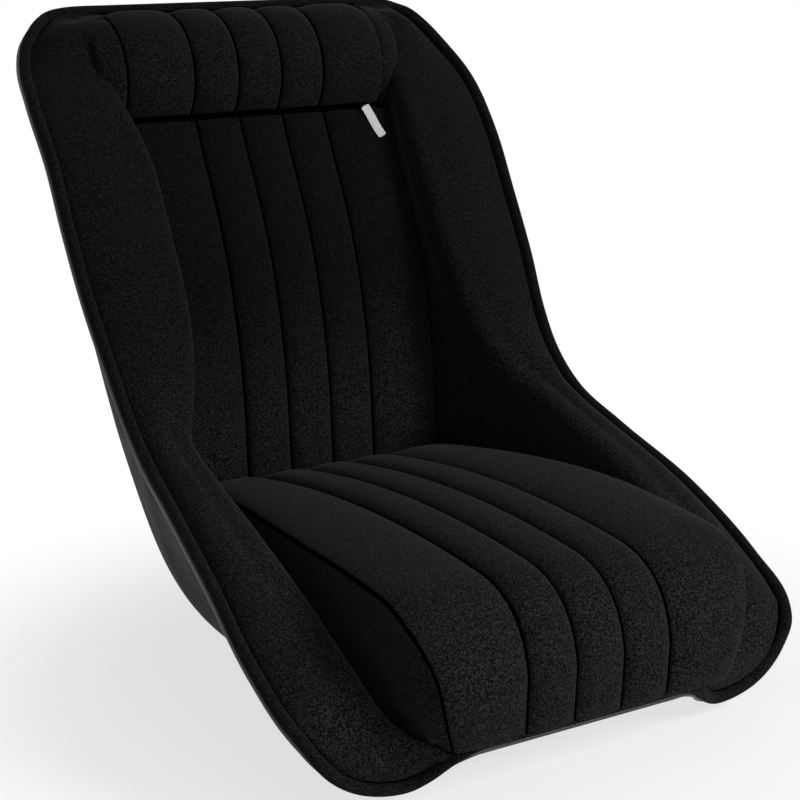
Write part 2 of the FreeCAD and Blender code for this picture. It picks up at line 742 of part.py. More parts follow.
class Cushion:
    """The loose cushion: stations along its seam line from the rear, over the knee, to the hem."""

    def __init__(self):
        rear = Vector(size("cushion_rear_depth"), size("cushion_rear_height"), 0)
        mid = Vector(size("cushion_mid_depth"), size("cushion_mid_height"), 0)
        knee = Vector(size("cushion_knee_depth"), size("cushion_knee_height"), 0)
        front = Vector(size("cushion_front_depth"), size("cushion_front_height"), 0)
        hem = Vector(size("cushion_hem_depth"), size("cushion_hem_height"), 0)
        seat = Part.Arc(rear, mid, knee)
        knee_way = unit(seat.tangent(seat.LastParameter)[0])
        front_way = unit(hem - front)
        bend = arc_middle(knee, front, knee_way.getAngle(front_way))
        knee_arc = Part.Arc(knee, bend, front)
        self.points = []
        self.ways = []
        self.halves = []
        self.wide = size("cushion_half_knee")
        for n in range(9):
            share = n / 8
            half = size("cushion_half_rear") + smooth(1.35 * share) * (self.wide - size("cushion_half_rear"))
            self.add(seat, share, half)
        for n in range(1, 6):
            self.add(knee_arc, n / 5, self.wide)
        hem_half = size("cushion_half_hem")
        for n in range(1, 6):
            share = n / 5
            self.points.append(front + (hem - front) * share)
            self.ways.append(front_way)
            self.halves.append(hem_half + (self.wide - hem_half) * math.sqrt(1 - (0.96 * share) ** 2))
        self.last = len(self.points) - 1

    def add(self, arc, share, half):
        at = arc.FirstParameter + (arc.LastParameter - arc.FirstParameter) * share
        self.points.append(arc.value(at))
        self.ways.append(unit(arc.tangent(at)[0]))
        self.halves.append(half)

    def frame(self, n):
        """Seam-line point and outward direction of one station, in space."""
        point, way = self.points[n], self.ways[n]
        return Vector(0, point.x, point.y), Vector(0, way.y, -way.x)

    def cover(self):
        wires = []
        for n in range(self.last + 1):
            seam, out = self.frame(n)
            wires.append(frame_wire(seam, out, flute_paths(self.halves[n], -size("cushion_skin"), 0)))
        return loft(wires)

    def base_point(self, share):
        """Point on the underside of the foam for a share of the way from rear to nose."""
        rear = Vector(0, size("cushion_base_rear"), CUSHION_FOAM_BOTTOM)
        front = Vector(0, size("cushion_base_front"), CUSHION_FOAM_BOTTOM)
        nose = Vector(0, size("cushion_nose_depth"), size("cushion_nose_height"))
        turn = 0.72
        level = rear + (front - rear) * (share / turn)
        rising = front + (nose - front) * ((share - turn) / (1 - turn))
        rise = smooth((share - turn + 0.12) / 0.24)
        return level * (1 - rise) + rising * rise

    def base_half(self, share):
        rear = size("cushion_base_half_rear")
        return rear + smooth(1.6 * share) * (size("cushion_base_half_front") - rear)

    def sections(self):
        """Bottom point, direction, reach to under the cover and both half widths."""
        stations = list(range(0, self.last - 1))
        for count, n in enumerate(stations):
            share = count / (len(stations) - 1)
            seam, out = self.frame(n)
            top = seam - out * (size("cushion_skin") + 3 * GAP)
            bottom = self.base_point(share)
            low_half = min(self.base_half(share), self.halves[n])
            yield bottom, unit(top - bottom), (top - bottom).Length, self.halves[n], low_half

    def foam(self):
        wires = []
        inset = size("cushion_side_skin") + GAP
        for bottom, ahead, reach, high_half, low_half in self.sections():
            high, low = high_half - inset, low_half - inset
            corners = [(-low, 0), (low, 0), (high, reach), (-high, reach)]
            wires.append(frame_wire(bottom, ahead, list(zip(corners, corners[1:] + corners[:1]))))
        return loft(wires)

    def side(self, side):
        wires = []
        wall = size("cushion_side_skin")
        for bottom, ahead, reach, high_half, low_half in self.sections():
            corners = [(side * (low_half - wall), 0), (side * low_half, 0),
                       (side * high_half, reach), (side * (high_half - wall), reach)]
            wires.append(frame_wire(bottom, ahead, list(zip(corners, corners[1:] + corners[:1]))))
        return loft(wires)

    def base(self):
        """Cloth under the foam, level and then rising to the nose."""
        thick = size("cushion_base_skin")
        nose_way = unit(self.base_point(1) - self.base_point(0.9))
        nose_down = math.atan2(-nose_way.z, -nose_way.y)
        wires = []
        count = self.last - 2
        for n in range(count + 1):
            share = n / count
            tilt = nose_down * smooth((share - 0.6) / 0.24)
            down = Vector(0, math.sin(tilt), -math.cos(tilt))
            top = self.base_point(share) + down * (2 * GAP)
            half = self.base_half(share) - GAP
            wires.append(frame_wire(top, down, slab_paths(half, 0, thick)))
        return loft(wires)


cushion = Cushion()
made = {}


def check(label, shape):
    if shape.isNull() or not shape.isValid() or shape.Volume <= 0:
        raise ValueError("bad shape for " + label)


def add_feature(label, shape):
    """A sub-part whose shape comes from the section geometry above."""
    check(label, shape)
    feature = doc.addObject("Part::Feature", label)
    feature.Shape = shape
    feature.Placement = FreeCAD.Placement()
    feature.Label = label
    made[label] = feature


def mirror_pair(name, make):
    """The right-hand piece and its mirror image on the left."""
    shape = make()
    add_feature(name + "_right", shape)
    add_feature(name + "_left", make_solid(to_left(shape)))


add_feature("grp_shell", seat_shell())
ROLL_OUT = size("roll_radius") + 2 * GAP
WELT = size("welt_radius")
mirror_pair("edge_roll", lambda: cord_round_rim(size("roll_radius"), ROLL_OUT, 0,
                                                 size("roll_corner_ease")))
mirror_pair("edge_welt", lambda: cord_round_rim(WELT, -WELT + 0.4, WALL / 2 + WELT + 2 * GAP,
                                                 size("welt_corner_ease")))
mirror_pair("wing_cover_lower", lambda: wing_solid("cover", WING_START, TUCK, 1))
mirror_pair("wing_foam_lower", lambda: wing_solid("foam", WING_START, TUCK, 1))
mirror_pair("wing_cover_upper", lambda: wing_solid("cover", TUCK, WING_END, 1))
mirror_pair("wing_foam_upper", lambda: wing_solid("foam", TUCK, WING_END, 1))
mirror_pair("head_roll_cap", lambda: head_cap(1))
mirror_pair("cushion_side", lambda: cushion.side(1))
add_feature("back_panel_foam", panel_foam())
add_feature("back_panel_cover", panel_cover())
add_feature("head_roll_foam", head_foam())
add_feature("head_roll_cover", head_cover())
add_feature("base_pad", base_pad())
add_feature("cushion_cover", cushion.cover())
add_feature("cushion_foam", cushion.foam())
add_feature("cushion_underside", cushion.base())


def strips(label, bottom):
    """A pair of fastening tapes that run fore and aft."""
    pair = []
    for name, side in SIDES:
        tape = doc.addObject("Part::Box", label + "_tape_" + name)
        tape.setExpression("Length", "Dimensions.strip_wide")
        tape.setExpression("Width", "Dimensions.strip_long")
        tape.setExpression("Height", "Dimensions.strip_thick")
        tape.setExpression("Placement.Base.x", "%d * Dimensions.strip_half - Dimensions.strip_wide / 2" % side)
        tape.setExpression("Placement.Base.y", "Dimensions.strip_middle - Dimensions.strip_long / 2")
        tape.setExpression("Placement.Base.z", bottom)
        pair.append(tape)
    group = doc.addObject("Part::Compound", label)
    group.Links = pair
    group.Label = label
    made[label] = group


strips("hook_tapes", "Dimensions.pad_top")
strips("loop_tapes", "Dimensions.pad_top + Dimensions.strip_thick + Dimensions.soft_gap")


def fixing_plate(name, side):
    """Steel plate on a foot of the shell, with a round hole at each end for a nut barrel."""
    label = "fixing_plate_" + name
    body = doc.addObject("PartDesign::Body", label)
    plane = [item for item in body.Origin.OriginFeatures if item.Role == "XY_Plane"][0]
    outline = body.newObject("Sketcher::SketchObject", label + "_outline")
    outline.AttachmentSupport = [(plane, "")]
    outline.MapMode = "FlatFace"
    half_wide, half_long = size("plate_wide") / 2, size("plate_long") / 2
    corners = [Vector(x * half_wide, y * half_long, 0) for x, y in ((-1, -1), (1, -1), (1, 1), (-1, 1))]
    for start, end in zip(corners, corners[1:] + corners[:1]):
        outline.addGeometry(Part.LineSegment(start, end), False)
    for n in range(4):
        outline.addConstraint(Sketcher.Constraint("Coincident", n, 2, (n + 1) % 4, 1))
    for n in (0, 2):
        outline.addConstraint(Sketcher.Constraint("Horizontal", n))
        outline.addConstraint(Sketcher.Constraint("Vertical", n + 1))
    outline.addConstraint(Sketcher.Constraint("Symmetric", 0, 1, 2, 1, -1, 1))
    wide = outline.addConstraint(Sketcher.Constraint("DistanceX", 0, 1, 0, 2, 2 * half_wide))
    long = outline.addConstraint(Sketcher.Constraint("DistanceY", 1, 1, 1, 2, 2 * half_long))
    outline.setExpression("Constraints[%d]" % wide, "Dimensions.plate_wide")
    outline.setExpression("Constraints[%d]" % long, "Dimensions.plate_long")
    pad = body.newObject("PartDesign::Pad", label + "_pad")
    pad.Profile = outline
    pad.setExpression("Length", "Dimensions.plate_thick")
    doc.recompute()
    full = pad.Shape.Volume
    holes = body.newObject("Sketcher::SketchObject", label + "_holes")
    holes.AttachmentSupport = [(plane, "")]
    holes.MapMode = "FlatFace"
    hole_radius = size("nut_barrel") / 2 + GAP
    for n, end in enumerate((-1, 1)):
        holes.addGeometry(Part.Circle(Vector(0, BOLT_LONG * end, 0), Vector(0, 0, 1), hole_radius), False)
        holes.addConstraint(Sketcher.Constraint("PointOnObject", n, 3, -2))
        radius = holes.addConstraint(Sketcher.Constraint("Radius", n, hole_radius))
        holes.setExpression("Constraints[%d]" % radius, "Dimensions.nut_barrel / 2 + Dimensions.soft_gap")
    far = holes.addConstraint(Sketcher.Constraint("DistanceY", 0, 3, -1, 1, BOLT_LONG))
    near = holes.addConstraint(Sketcher.Constraint("DistanceY", -1, 1, 1, 3, BOLT_LONG))
    for index in (far, near):
        holes.setExpression("Constraints[%d]" % index, "Dimensions.bolt_spacing_long / 2")
    cut = body.newObject("PartDesign::Pocket", label + "_nut_holes")
    cut.Profile = holes
    cut.Type = "ThroughAll"
    cut.Midplane = True
    body.setExpression("Placement.Base.x", "%d * Dimensions.bolt_half" % side)
    body.setExpression("Placement.Base.z", "Dimensions.foot_top")
    doc.recompute()
    if body.Shape.Volume >= full:
        raise ValueError("the nut holes cut nothing from " + label)
    made[label] = body


for name, side in SIDES:
    fixing_plate(name, side)


def fixing_nuts():
    """Four flanged nuts: the flange on the plate, the barrel down to the underside, bored."""
    nuts = []
    for n, (across, along) in enumerate(((-1, -1), (-1, 1), (1, -1), (1, 1))):
        x = "%d * Dimensions.bolt_half" % across
        y = "%d * Dimensions.bolt_spacing_long / 2" % along
        barrel = doc.addObject("Part::Cylinder", "nut_barrel_%d" % n)
        barrel.setExpression("Radius", "Dimensions.nut_barrel / 2")
        barrel.setExpression("Height", "Dimensions.foot_top + Dimensions.plate_thick - Dimensions.soft_gap")
        flange = doc.addObject("Part::Cylinder", "nut_flange_%d" % n)
        flange.setExpression("Radius", "Dimensions.nut_flange / 2")
        flange.setExpression("Height", "Dimensions.nut_flange_thick")
        bore = doc.addObject("Part::Cylinder", "nut_bore_%d" % n)
        bore.setExpression("Radius", "Dimensions.bolt_hole / 2")
        bore.setExpression("Height", "2 * (Dimensions.foot_top + Dimensions.plate_thick)")
        places = ((barrel, "Dimensions.soft_gap"), (flange, "Dimensions.foot_top + Dimensions.plate_thick"),
                  (bore, "-1 * Dimensions.soft_gap"))
        for item, z in places:
            item.setExpression("Placement.Base.x", x)
            item.setExpression("Placement.Base.y", y)
            item.setExpression("Placement.Base.z", z)
        joined = doc.addObject("Part::Fuse", "nut_blank_%d" % n)
        joined.Base = barrel
        joined.Tool = flange
        nut = doc.addObject("Part::Cut", "nut_%d" % n)
        nut.Base = joined
        nut.Tool = bore
        nuts.append(nut)
    group = doc.addObject("Part::Compound", "fixing_nuts")
    group.Links = nuts
    group.Label = "fixing_nuts"
    made["fixing_nuts"] = group


fixing_nuts()


def tag_label():
    """Blank woven tag sewn in under the head roll, hanging over the outer flute at a slant."""
    label = "tag_label"
    u = back_step(ROLL_SEAM_HEIGHT - 4)
    origin, ahead = back_frame(u)
    along = unit(FLOOR_LINE.tangent(u)[0])
    top = origin + ahead * (PANEL_SEAM + size("wide_flute_crown")) - along * 4
    slant = math.radians(size("tag_slant"))
    down = along * -math.cos(slant) + Vector(math.sin(slant), 0, 0)
    across = down.cross(ahead)
    half = size("tag_wide") / 2
    middle = top + Vector(size("tag_middle"), 0, 0)
    corners = [middle - across * half, middle + across * half,
               middle + across * half + down * size("tag_long"),
               middle - across * half + down * size("tag_long")]
    face = Part.Face(Part.makePolygon(corners + corners[:1]))
    add_feature(label, make_solid(face.extrude(ahead * size("tag_thick"))))


tag_label()
doc.recompute()
for item in doc.Objects:
    if "Invalid" in item.State or "Error" in item.State:
        raise ValueError("failed object " + item.Name)
for label, feature in sorted(made.items()):
    check(label, feature.Shape)
    feature.Shape.exportStep("parts/%s.step" % label)
    print("%-24s %d solids %10.0f mm3" % (label, len(feature.Shape.Solids), feature.Shape.Volume))
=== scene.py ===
import json
import math
import bpy
import numpy as np
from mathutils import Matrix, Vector

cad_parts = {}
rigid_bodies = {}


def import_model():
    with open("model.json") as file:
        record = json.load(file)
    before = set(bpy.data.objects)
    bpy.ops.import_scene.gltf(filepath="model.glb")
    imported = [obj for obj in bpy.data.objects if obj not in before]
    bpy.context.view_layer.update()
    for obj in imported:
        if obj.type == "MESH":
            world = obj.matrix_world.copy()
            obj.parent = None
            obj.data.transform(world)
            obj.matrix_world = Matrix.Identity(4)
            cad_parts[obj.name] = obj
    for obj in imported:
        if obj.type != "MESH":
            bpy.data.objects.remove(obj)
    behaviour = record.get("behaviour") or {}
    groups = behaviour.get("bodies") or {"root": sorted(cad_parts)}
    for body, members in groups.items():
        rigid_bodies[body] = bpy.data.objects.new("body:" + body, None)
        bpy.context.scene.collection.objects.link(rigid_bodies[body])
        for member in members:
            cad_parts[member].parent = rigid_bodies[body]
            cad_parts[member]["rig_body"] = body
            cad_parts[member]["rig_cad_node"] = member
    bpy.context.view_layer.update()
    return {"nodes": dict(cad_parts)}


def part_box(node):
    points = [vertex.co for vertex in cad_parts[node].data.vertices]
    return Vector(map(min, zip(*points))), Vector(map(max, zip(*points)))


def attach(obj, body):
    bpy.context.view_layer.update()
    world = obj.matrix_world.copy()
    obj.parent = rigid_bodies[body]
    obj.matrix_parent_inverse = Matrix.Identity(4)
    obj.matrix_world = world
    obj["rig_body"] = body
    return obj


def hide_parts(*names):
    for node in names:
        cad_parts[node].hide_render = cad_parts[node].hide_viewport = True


# Cloth-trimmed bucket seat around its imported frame. Lengths are millimetres until a mesh is made.

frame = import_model()
bpy.ops.object.select_all(action="DESELECT")

MM = 0.001
WALL = 4.0
ROLL = 5.0
SIDES = (("left", -1), ("right", 1))

# The ribs of the shell, from the toe to the crown: floor depth and height, rim half width, depth
# and height, half width of the flat floor, lean of the side, and the wing crest's half width and
# rise above the rim.
RIBS = np.array((
    (-188, 14, 264, -190, 84, 120, 40, 184, 14),
    (-130, 5, 270, -138, 116, 112, 30, 192, 20),
    (-50, 4, 265, -50, 164, 98, 22, 197, 20),
    (50, 4, 254, 50, 203, 90, 18, 196, 15),
    (150, 6, 248, 115, 231, 92, 19, 193, 8),
    (243, 42, 247, 136, 247, 94, 21, 186, 2),
    (283, 126, 247, 154, 265, 118, 17, 174, 2),
    (291, 215, 249, 180, 301, 146, 10, 158, 4),
    (306, 302, 254, 211, 354, 152, 10, 148, 6),
    (333, 383, 256, 249, 419, 152, 10, 145, 6),
    (372, 460, 256, 283, 478, 152, 10, 147, 6),
    (398, 525, 255, 328, 530, 152, 12, 158, 4),
    (410, 574, 246, 371, 563, 152, 16, 165, 0),
    (417, 597, 229, 393, 587, 150, 26, 174, -6)), float)
LAST = len(RIBS) - 1
SEAT_END = 4.0
BACK_START = 7.0
ELBOW = 5.0
RIM_DROP = 8.0
LIP = Vector((112, -229, 42))
TOE_DIP = Vector((164, -207, 16))
CORNER_STEP = Vector((-6, -9, -18))
CROWN_HEIGHT = 608
CROWN_HALF = 165
CROWN_CORNER_IN = 11
CROWN_CORNER_DROP = 9
CROWN_BACK = 3
CROWN_BOW = 0.7
FOOT_HALF_SEAT = 183
FOOT_HALF_BACK = 157
FOOT_TO_BEND = 14
HOLLOW_SEAT = 1
HOLLOW_BACK = 7
LINING = WALL + 1.2
FLUTE_PITCH = 50.0
# Where the rim turns up round the toe, as shares of the way across and up to the side's corner.
TOE_TURN = ((0.30, 0.05), (0.54, 0.20), (0.75, 0.45), (0.90, 0.74), (1.0, 1.0))


# ---- curves ---------------------------------------------------------------------------------

def through(rows):
    """Smooth curve through rows of values, one unit of its parameter apart."""
    y = np.array(rows, float)
    count = len(y)
    lhs = np.zeros((count, count))
    rhs = np.zeros_like(y)
    for i in range(1, count - 1):
        lhs[i, i - 1:i + 2] = (1, 4, 1)
        rhs[i] = 3 * (y[i + 1] - y[i - 1])
    lhs[0, 0] = lhs[-1, -1] = 1
    rhs[0] = (4 * y[1] - 3 * y[0] - y[2]) / 2
    rhs[-1] = (3 * y[-1] - 4 * y[-2] + y[-3]) / 2
    slope = np.linalg.solve(lhs, rhs)

    def value(u):
        i = min(max(int(u), 0), count - 2)
        t = u - i
        return ((2 * t ** 3 - 3 * t ** 2 + 1) * y[i] + (t ** 3 - 2 * t ** 2 + t) * slope[i]
                + (3 * t ** 2 - 2 * t ** 3) * y[i + 1] + (t ** 3 - t ** 2) * slope[i + 1])
    return value


FLOOR_LINE = through(RIBS[:, 0:2])
RIM_LINE = through(RIBS[:, 2:5])
SHAPE_LINE = through(RIBS[:, 5:7])
CREST_LINE = through(RIBS[:, 7:9])


def smooth(share):
    held = min(max(share, 0.0), 1.0)
    return held * held * (3 - 2 * held)


def left_of(way):
    return Vector((-way.y, way.x, 0))


def bend(start, middle, end, count):
    """Points of the curve from start over middle to end, without the last."""
    control = middle * 2 - (start + end) * 0.5
    return [start.lerp(control, n / count).lerp(control.lerp(end, n / count), n / count)
            for n in range(count)]


def arc_middle(start, end, turn):
    return (start + end) * 0.5 - left_of(end - start) * (0.5 * math.tan(turn / 4))


def mirrored(row):
    return [Vector((-p.x, p.y, p.z)) for p in reversed(row[1:])] + row


# ---- the shell's ribs -----------------------------------------------------------------------

class Rib:
    """A cross-section of the shell: x is across, y runs from the floor to the rim."""

    def __init__(self, u):
        self.floor = Vector((0, *FLOOR_LINE(u)))
        rim = Vector(RIM_LINE(u))
        reach = Vector((0, rim.y, rim.z)) - self.floor
        self.up = reach.normalized()
        self.height = reach.length
        half, lean = SHAPE_LINE(u)
        crest_half, crest_rise = CREST_LINE(u)
        lean = math.radians(lean)
        self.start = Vector((half, 0, 0))
        self.end = Vector((rim.x, self.height - RIM_DROP, 0))
        self.end_way = Vector((math.sin(lean), math.cos(lean), 0))
        self.crest = Vector((crest_half, self.height + crest_rise, 0))
        self.join_arcs()
        back_share = smooth((u - SEAT_END) / (BACK_START - SEAT_END))
        foot = FOOT_HALF_SEAT + (FOOT_HALF_BACK - FOOT_HALF_SEAT) * back_share
        self.foot = min(foot, self.join.x - FOOT_TO_BEND)
        self.hollow = HOLLOW_SEAT + (HOLLOW_BACK - HOLLOW_SEAT) * back_share

    def join_arcs(self):
        start_way = Vector((1, 0, 0))
        gap = self.end - self.start
        facing = 2 * (1 - start_way.dot(self.end_way))
        along = gap.dot(start_way + self.end_way)
        reach = (math.sqrt(along * along + facing * gap.dot(gap)) - along) / facing
        low = self.start + start_way * reach
        high = self.end - self.end_way * reach
        self.join = (low + high) * 0.5
        join_way = (high - low).normalized()
        self.arcs = ((self.start, start_way, self.join, join_way),
                     (self.join, join_way, self.end, self.end_way))

    def sample(self, inset, count):
        """Points on the wall, inset from its outer face, from the flat floor to the rim."""
        points = []
        for start, start_way, end, end_way in self.arcs:
            middle = arc_middle(start, end, start_way.angle(end_way))
            stops = (start + left_of(start_way) * inset,
                     middle + left_of((end - start).normalized()) * inset,
                     end + left_of(end_way) * inset)
            points += bend(*stops, count)
        return points + [stops[2]]

    def place(self, point):
        return self.floor + self.up * point.y + Vector((point.x, 0, 0))

    def on_wall(self, x, inset):
        row = self.sample(inset, 16)
        for n, (a, b) in enumerate(zip(row, row[1:])):
            if a.x <= x <= b.x:
                return a.lerp(b, (x - a.x) / (b.x - a.x)), row[n + 1:]
        return row[-1], row[-1:]


def shell_row(u, inset):
    rib = Rib(u)
    flat = [Vector((rib.start.x * n / 3, inset, 0)) for n in range(3)]
    return [rib.place(point) for point in flat + rib.sample(inset, 4)]


def lip_row():
    """Half the front rim: level below the cushion, dipping at the toe and up to the side."""
    corner = Vector(RIM_LINE(0)) + CORNER_STEP
    row = [Vector((LIP.x * n / 3, LIP.y, LIP.z)) for n in range(4)]
    for n in range(1, 4):
        drop = smooth(n / 3)
        row.append(Vector((LIP.x + (TOE_DIP.x - LIP.x) * n / 3, LIP.y + (TOE_DIP.y - LIP.y) * drop,
                           LIP.z + (TOE_DIP.z - LIP.z) * drop)))
    for across, rise in TOE_TURN:
        row.append(Vector((TOE_DIP.x + (corner.x - TOE_DIP.x) * across,
                           TOE_DIP.y + (corner.y - TOE_DIP.y) * rise,
                           TOE_DIP.z + (corner.z - TOE_DIP.z) * rise)))
    return row


def crown_row():
    """Half the top rim, level over the head and turning down at the corner."""
    last = shell_row(LAST, 0)
    corner_x = last[-1].x - CROWN_CORNER_IN
    row = []
    for point in last:
        across = point.x * corner_x / last[-1].x
        turn = max(0.0, (across - CROWN_HALF) / (corner_x - CROWN_HALF))
        depth = last[0].y + CROWN_BACK + CROWN_BOW * (point.y - last[0].y)
        row.append(Vector((across, depth, CROWN_HEIGHT - CROWN_CORNER_DROP * turn * turn)))
    return row


def grid_normal(grid, i, j):
    ahead = grid[min(i + 1, len(grid) - 1)][j] - grid[max(i - 1, 0)][j]
    across = grid[i][min(j + 1, len(grid[i]) - 1)] - grid[i][max(j - 1, 0)]
    return across.cross(ahead).normalized()


def rim_path(step):
    """Right half of the rim at even steps from the front to the top: its middle point, the way
    out of the rim and the way to the back of the wall."""
    steps = [n / 2 for n in range(2 * LAST + 1)]
    outer = [mirrored(lip_row())]
    outer += [mirrored(shell_row(u, 0)) for u in steps]
    outer.append(mirrored(crown_row()))
    inner = [None] + [mirrored(shell_row(u, WALL)) for u in steps] + [None]
    for i in (0, len(outer) - 1):
        inner[i] = [point + grid_normal(outer, i, j) * WALL for j, point in enumerate(outer[i])]
    last = len(outer[0]) - 1
    top = len(outer) - 1
    nodes = [(0, j) for j in range(last // 2, last)] + [(0, last), (1, last)]
    nodes += [(i, last) for i in range(3, top - 2, 2)] + [(top - 2, last), (top - 1, last)]
    nodes += [(top, j) for j in range(last, last // 2 - 1, -1)]
    points = [(outer[i][j] + inner[i][j]) * 0.5 for i, j in nodes]
    at = [0.0]
    for a, b in zip(points, points[1:]):
        at.append(at[-1] + (b - a).length)
    backs = []
    for n in range(len(nodes)):
        near = [nodes[max(n - 1, 0)], nodes[n], nodes[n], nodes[min(n + 1, len(nodes) - 1)]]
        backs.append(sum(((outer[i][j] - inner[i][j]).normalized() for i, j in near), Vector()))
    path = []
    count = int(at[-1] / step)
    for n in range(count + 1):
        here = at[-1] * n / count
        k = min(sum(1 for value in at if value <= here), len(at) - 1)
        share = (here - at[k - 1]) / (at[k] - at[k - 1])
        path.append((hermite(points, at, k - 1, share), backs[k - 1].lerp(backs[k], share)))
    return with_ways(path)


def hermite(points, at, k, share):
    """Point between two nodes of an uneven row, with slopes from its neighbours."""
    def slope(n):
        if n == 0:
            return Vector((1, 0, 0))
        if n == len(points) - 1:
            return Vector((-1, 0, 0))
        before, after = at[n] - at[n - 1], at[n + 1] - at[n]
        return ((points[n] - points[n - 1]) * (after / before)
                + (points[n + 1] - points[n]) * (before / after)) / (before + after)
    length = at[k + 1] - at[k]
    s2, s3 = share ** 2, share ** 3
    return (points[k] * (2 * s3 - 3 * s2 + 1) + slope(k) * (length * (s3 - 2 * s2 + share))
            + points[k + 1] * (3 * s2 - 2 * s3) + slope(k + 1) * (length * (s3 - s2)))


def with_ways(path):
    """Add the way out of the rim to each point, and square the way back to the path."""
    rows = []
    for n, (point, back) in enumerate(path):
        along = (path[min(n + 1, len(path) - 1)][0] - path[max(n - 1, 0)][0]).normalized()
        if n == 0:
            along = Vector((1, 0, 0))
        if n == len(path) - 1:
            along = Vector((-1, 0, 0))
        back = (back - along * back.dot(along)).normalized()
        rows.append((point, back.cross(along), back))
    return rows


# ---- meshes ---------------------------------------------------------------------------------

def ring_piece(name, rings, closed=False):
    """Mesh through rings of as many points each, capped at both ends or closed end to end."""
    count = len(rings[0])
    verts = [tuple(p * MM) for ring in rings for p in ring]
    faces = []
    for i in range(len(rings) - (0 if closed else 1)):
        low = i * count
        high = (i + 1) % len(rings) * count
        for j in range(count):
            k = (j + 1) % count
            faces.append((low + j, low + k, high + k, high + j))
    if not closed:
        faces.append(tuple(range(count - 1, -1, -1)))
        faces.append(tuple(range(len(verts) - count, len(verts))))
    mesh = bpy.data.meshes.new(name)
    mesh.from_pydata(verts, [], faces)
    piece = bpy.data.objects.new(name, mesh)
    bpy.context.scene.collection.objects.link(piece)
    face_outward(piece)
    mesh.shade_smooth()
    return piece


def face_outward(piece):
    activate(piece)
    bpy.ops.object.mode_set(mode="EDIT")
    bpy.ops.mesh.select_all(action="SELECT")
    bpy.ops.mesh.normals_make_consistent(inside=False)
    bpy.ops.object.mode_set(mode="OBJECT")


def activate(piece):
    bpy.ops.object.select_all(action="DESELECT")
    piece.select_set(True)
    bpy.context.view_layer.objects.active = piece


def coords(piece):
    flat = np.zeros(len(piece.data.vertices) * 3)
    piece.data.vertices.foreach_get("co", flat)
    return flat.reshape(-1, 3)


def set_coords(piece, points):
    piece.data.vertices.foreach_set("co", points.ravel())
    piece.data.update()


CLOTH_STEPS = 20


def plump(piece, loose, pressure, cap=3):
    """Let the filling swell the cover between its seams, by cloth simulation. loose is 0 where a
    point is sewn down and 1 where it is free, and no point moves further than cap."""
    group = piece.vertex_groups.new(name="sewn")
    for level in np.unique(np.round(loose, 1)):
        picked = np.flatnonzero(np.round(loose, 1) == level)
        group.add(picked.tolist(), float(1 - level), "REPLACE")
    start = coords(piece)
    cloth = piece.modifiers.new("Cloth", "CLOTH")
    cloth.settings.quality = 5
    cloth.settings.mass = 0.25
    cloth.settings.tension_stiffness = 12
    cloth.settings.compression_stiffness = 12
    cloth.settings.bending_stiffness = 4
    cloth.settings.shrink_min = 0.0
    cloth.settings.use_pressure = True
    cloth.settings.uniform_pressure_force = pressure
    cloth.settings.vertex_group_mass = group.name
    cloth.settings.effector_weights.gravity = 0
    cloth.collision_settings.use_collision = False
    scene = bpy.context.scene
    for step in range(CLOTH_STEPS):
        scene.frame_set(step + 1)
    baked = piece.evaluated_get(bpy.context.evaluated_depsgraph_get())
    moved = np.zeros(len(start) * 3)
    baked.data.vertices.foreach_get("co", moved)
    move = moved.reshape(-1, 3) - start
    length = np.linalg.norm(move, axis=1, keepdims=True)
    limit = cap * MM
    move *= np.where(length > limit, limit / np.maximum(length, 1e-9), 1.0)
    piece.modifiers.remove(cloth)
    piece.vertex_groups.remove(group)
    scene.frame_set(1)
    set_coords(piece, start + move)


def round_off(piece):
    soft = piece.modifiers.new("Subdivision", "SUBSURF")
    soft.levels = 1
    soft.render_levels = 1


def finish_piece(piece, body, material, nodes=()):
    piece.data.materials.clear()
    piece.data.materials.append(material)
    if nodes:
        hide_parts(*nodes)
    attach(piece, body)
    return piece


def paint_seam_shade(piece, picked):
    """Give the painted seam shade to the faces that picked names by ring and by place on the ring.
    """
    piece.data.materials.append(PAINTED_SEAM_SHADE)
    for face in piece.data.polygons:
        if face.index in picked:
            face.material_index = 1


def flute_seams(columns, per_ring, ring_count, rows=()):
    """Faces for painted shade along both sides of each sewn line of a fluted cover, and whole rows
    of it.
    """
    picked = set()
    for i in range(ring_count - 1):
        for seam in range(0, columns, FLUTE_STEPS):
            picked.update(i * per_ring + j for j in (seam - 1, seam) if 0 <= j < columns - 1)
        if i in rows:
            picked.update(i * per_ring + j for j in range(columns))
    return picked


# ---- materials ------------------------------------------------------------------------------

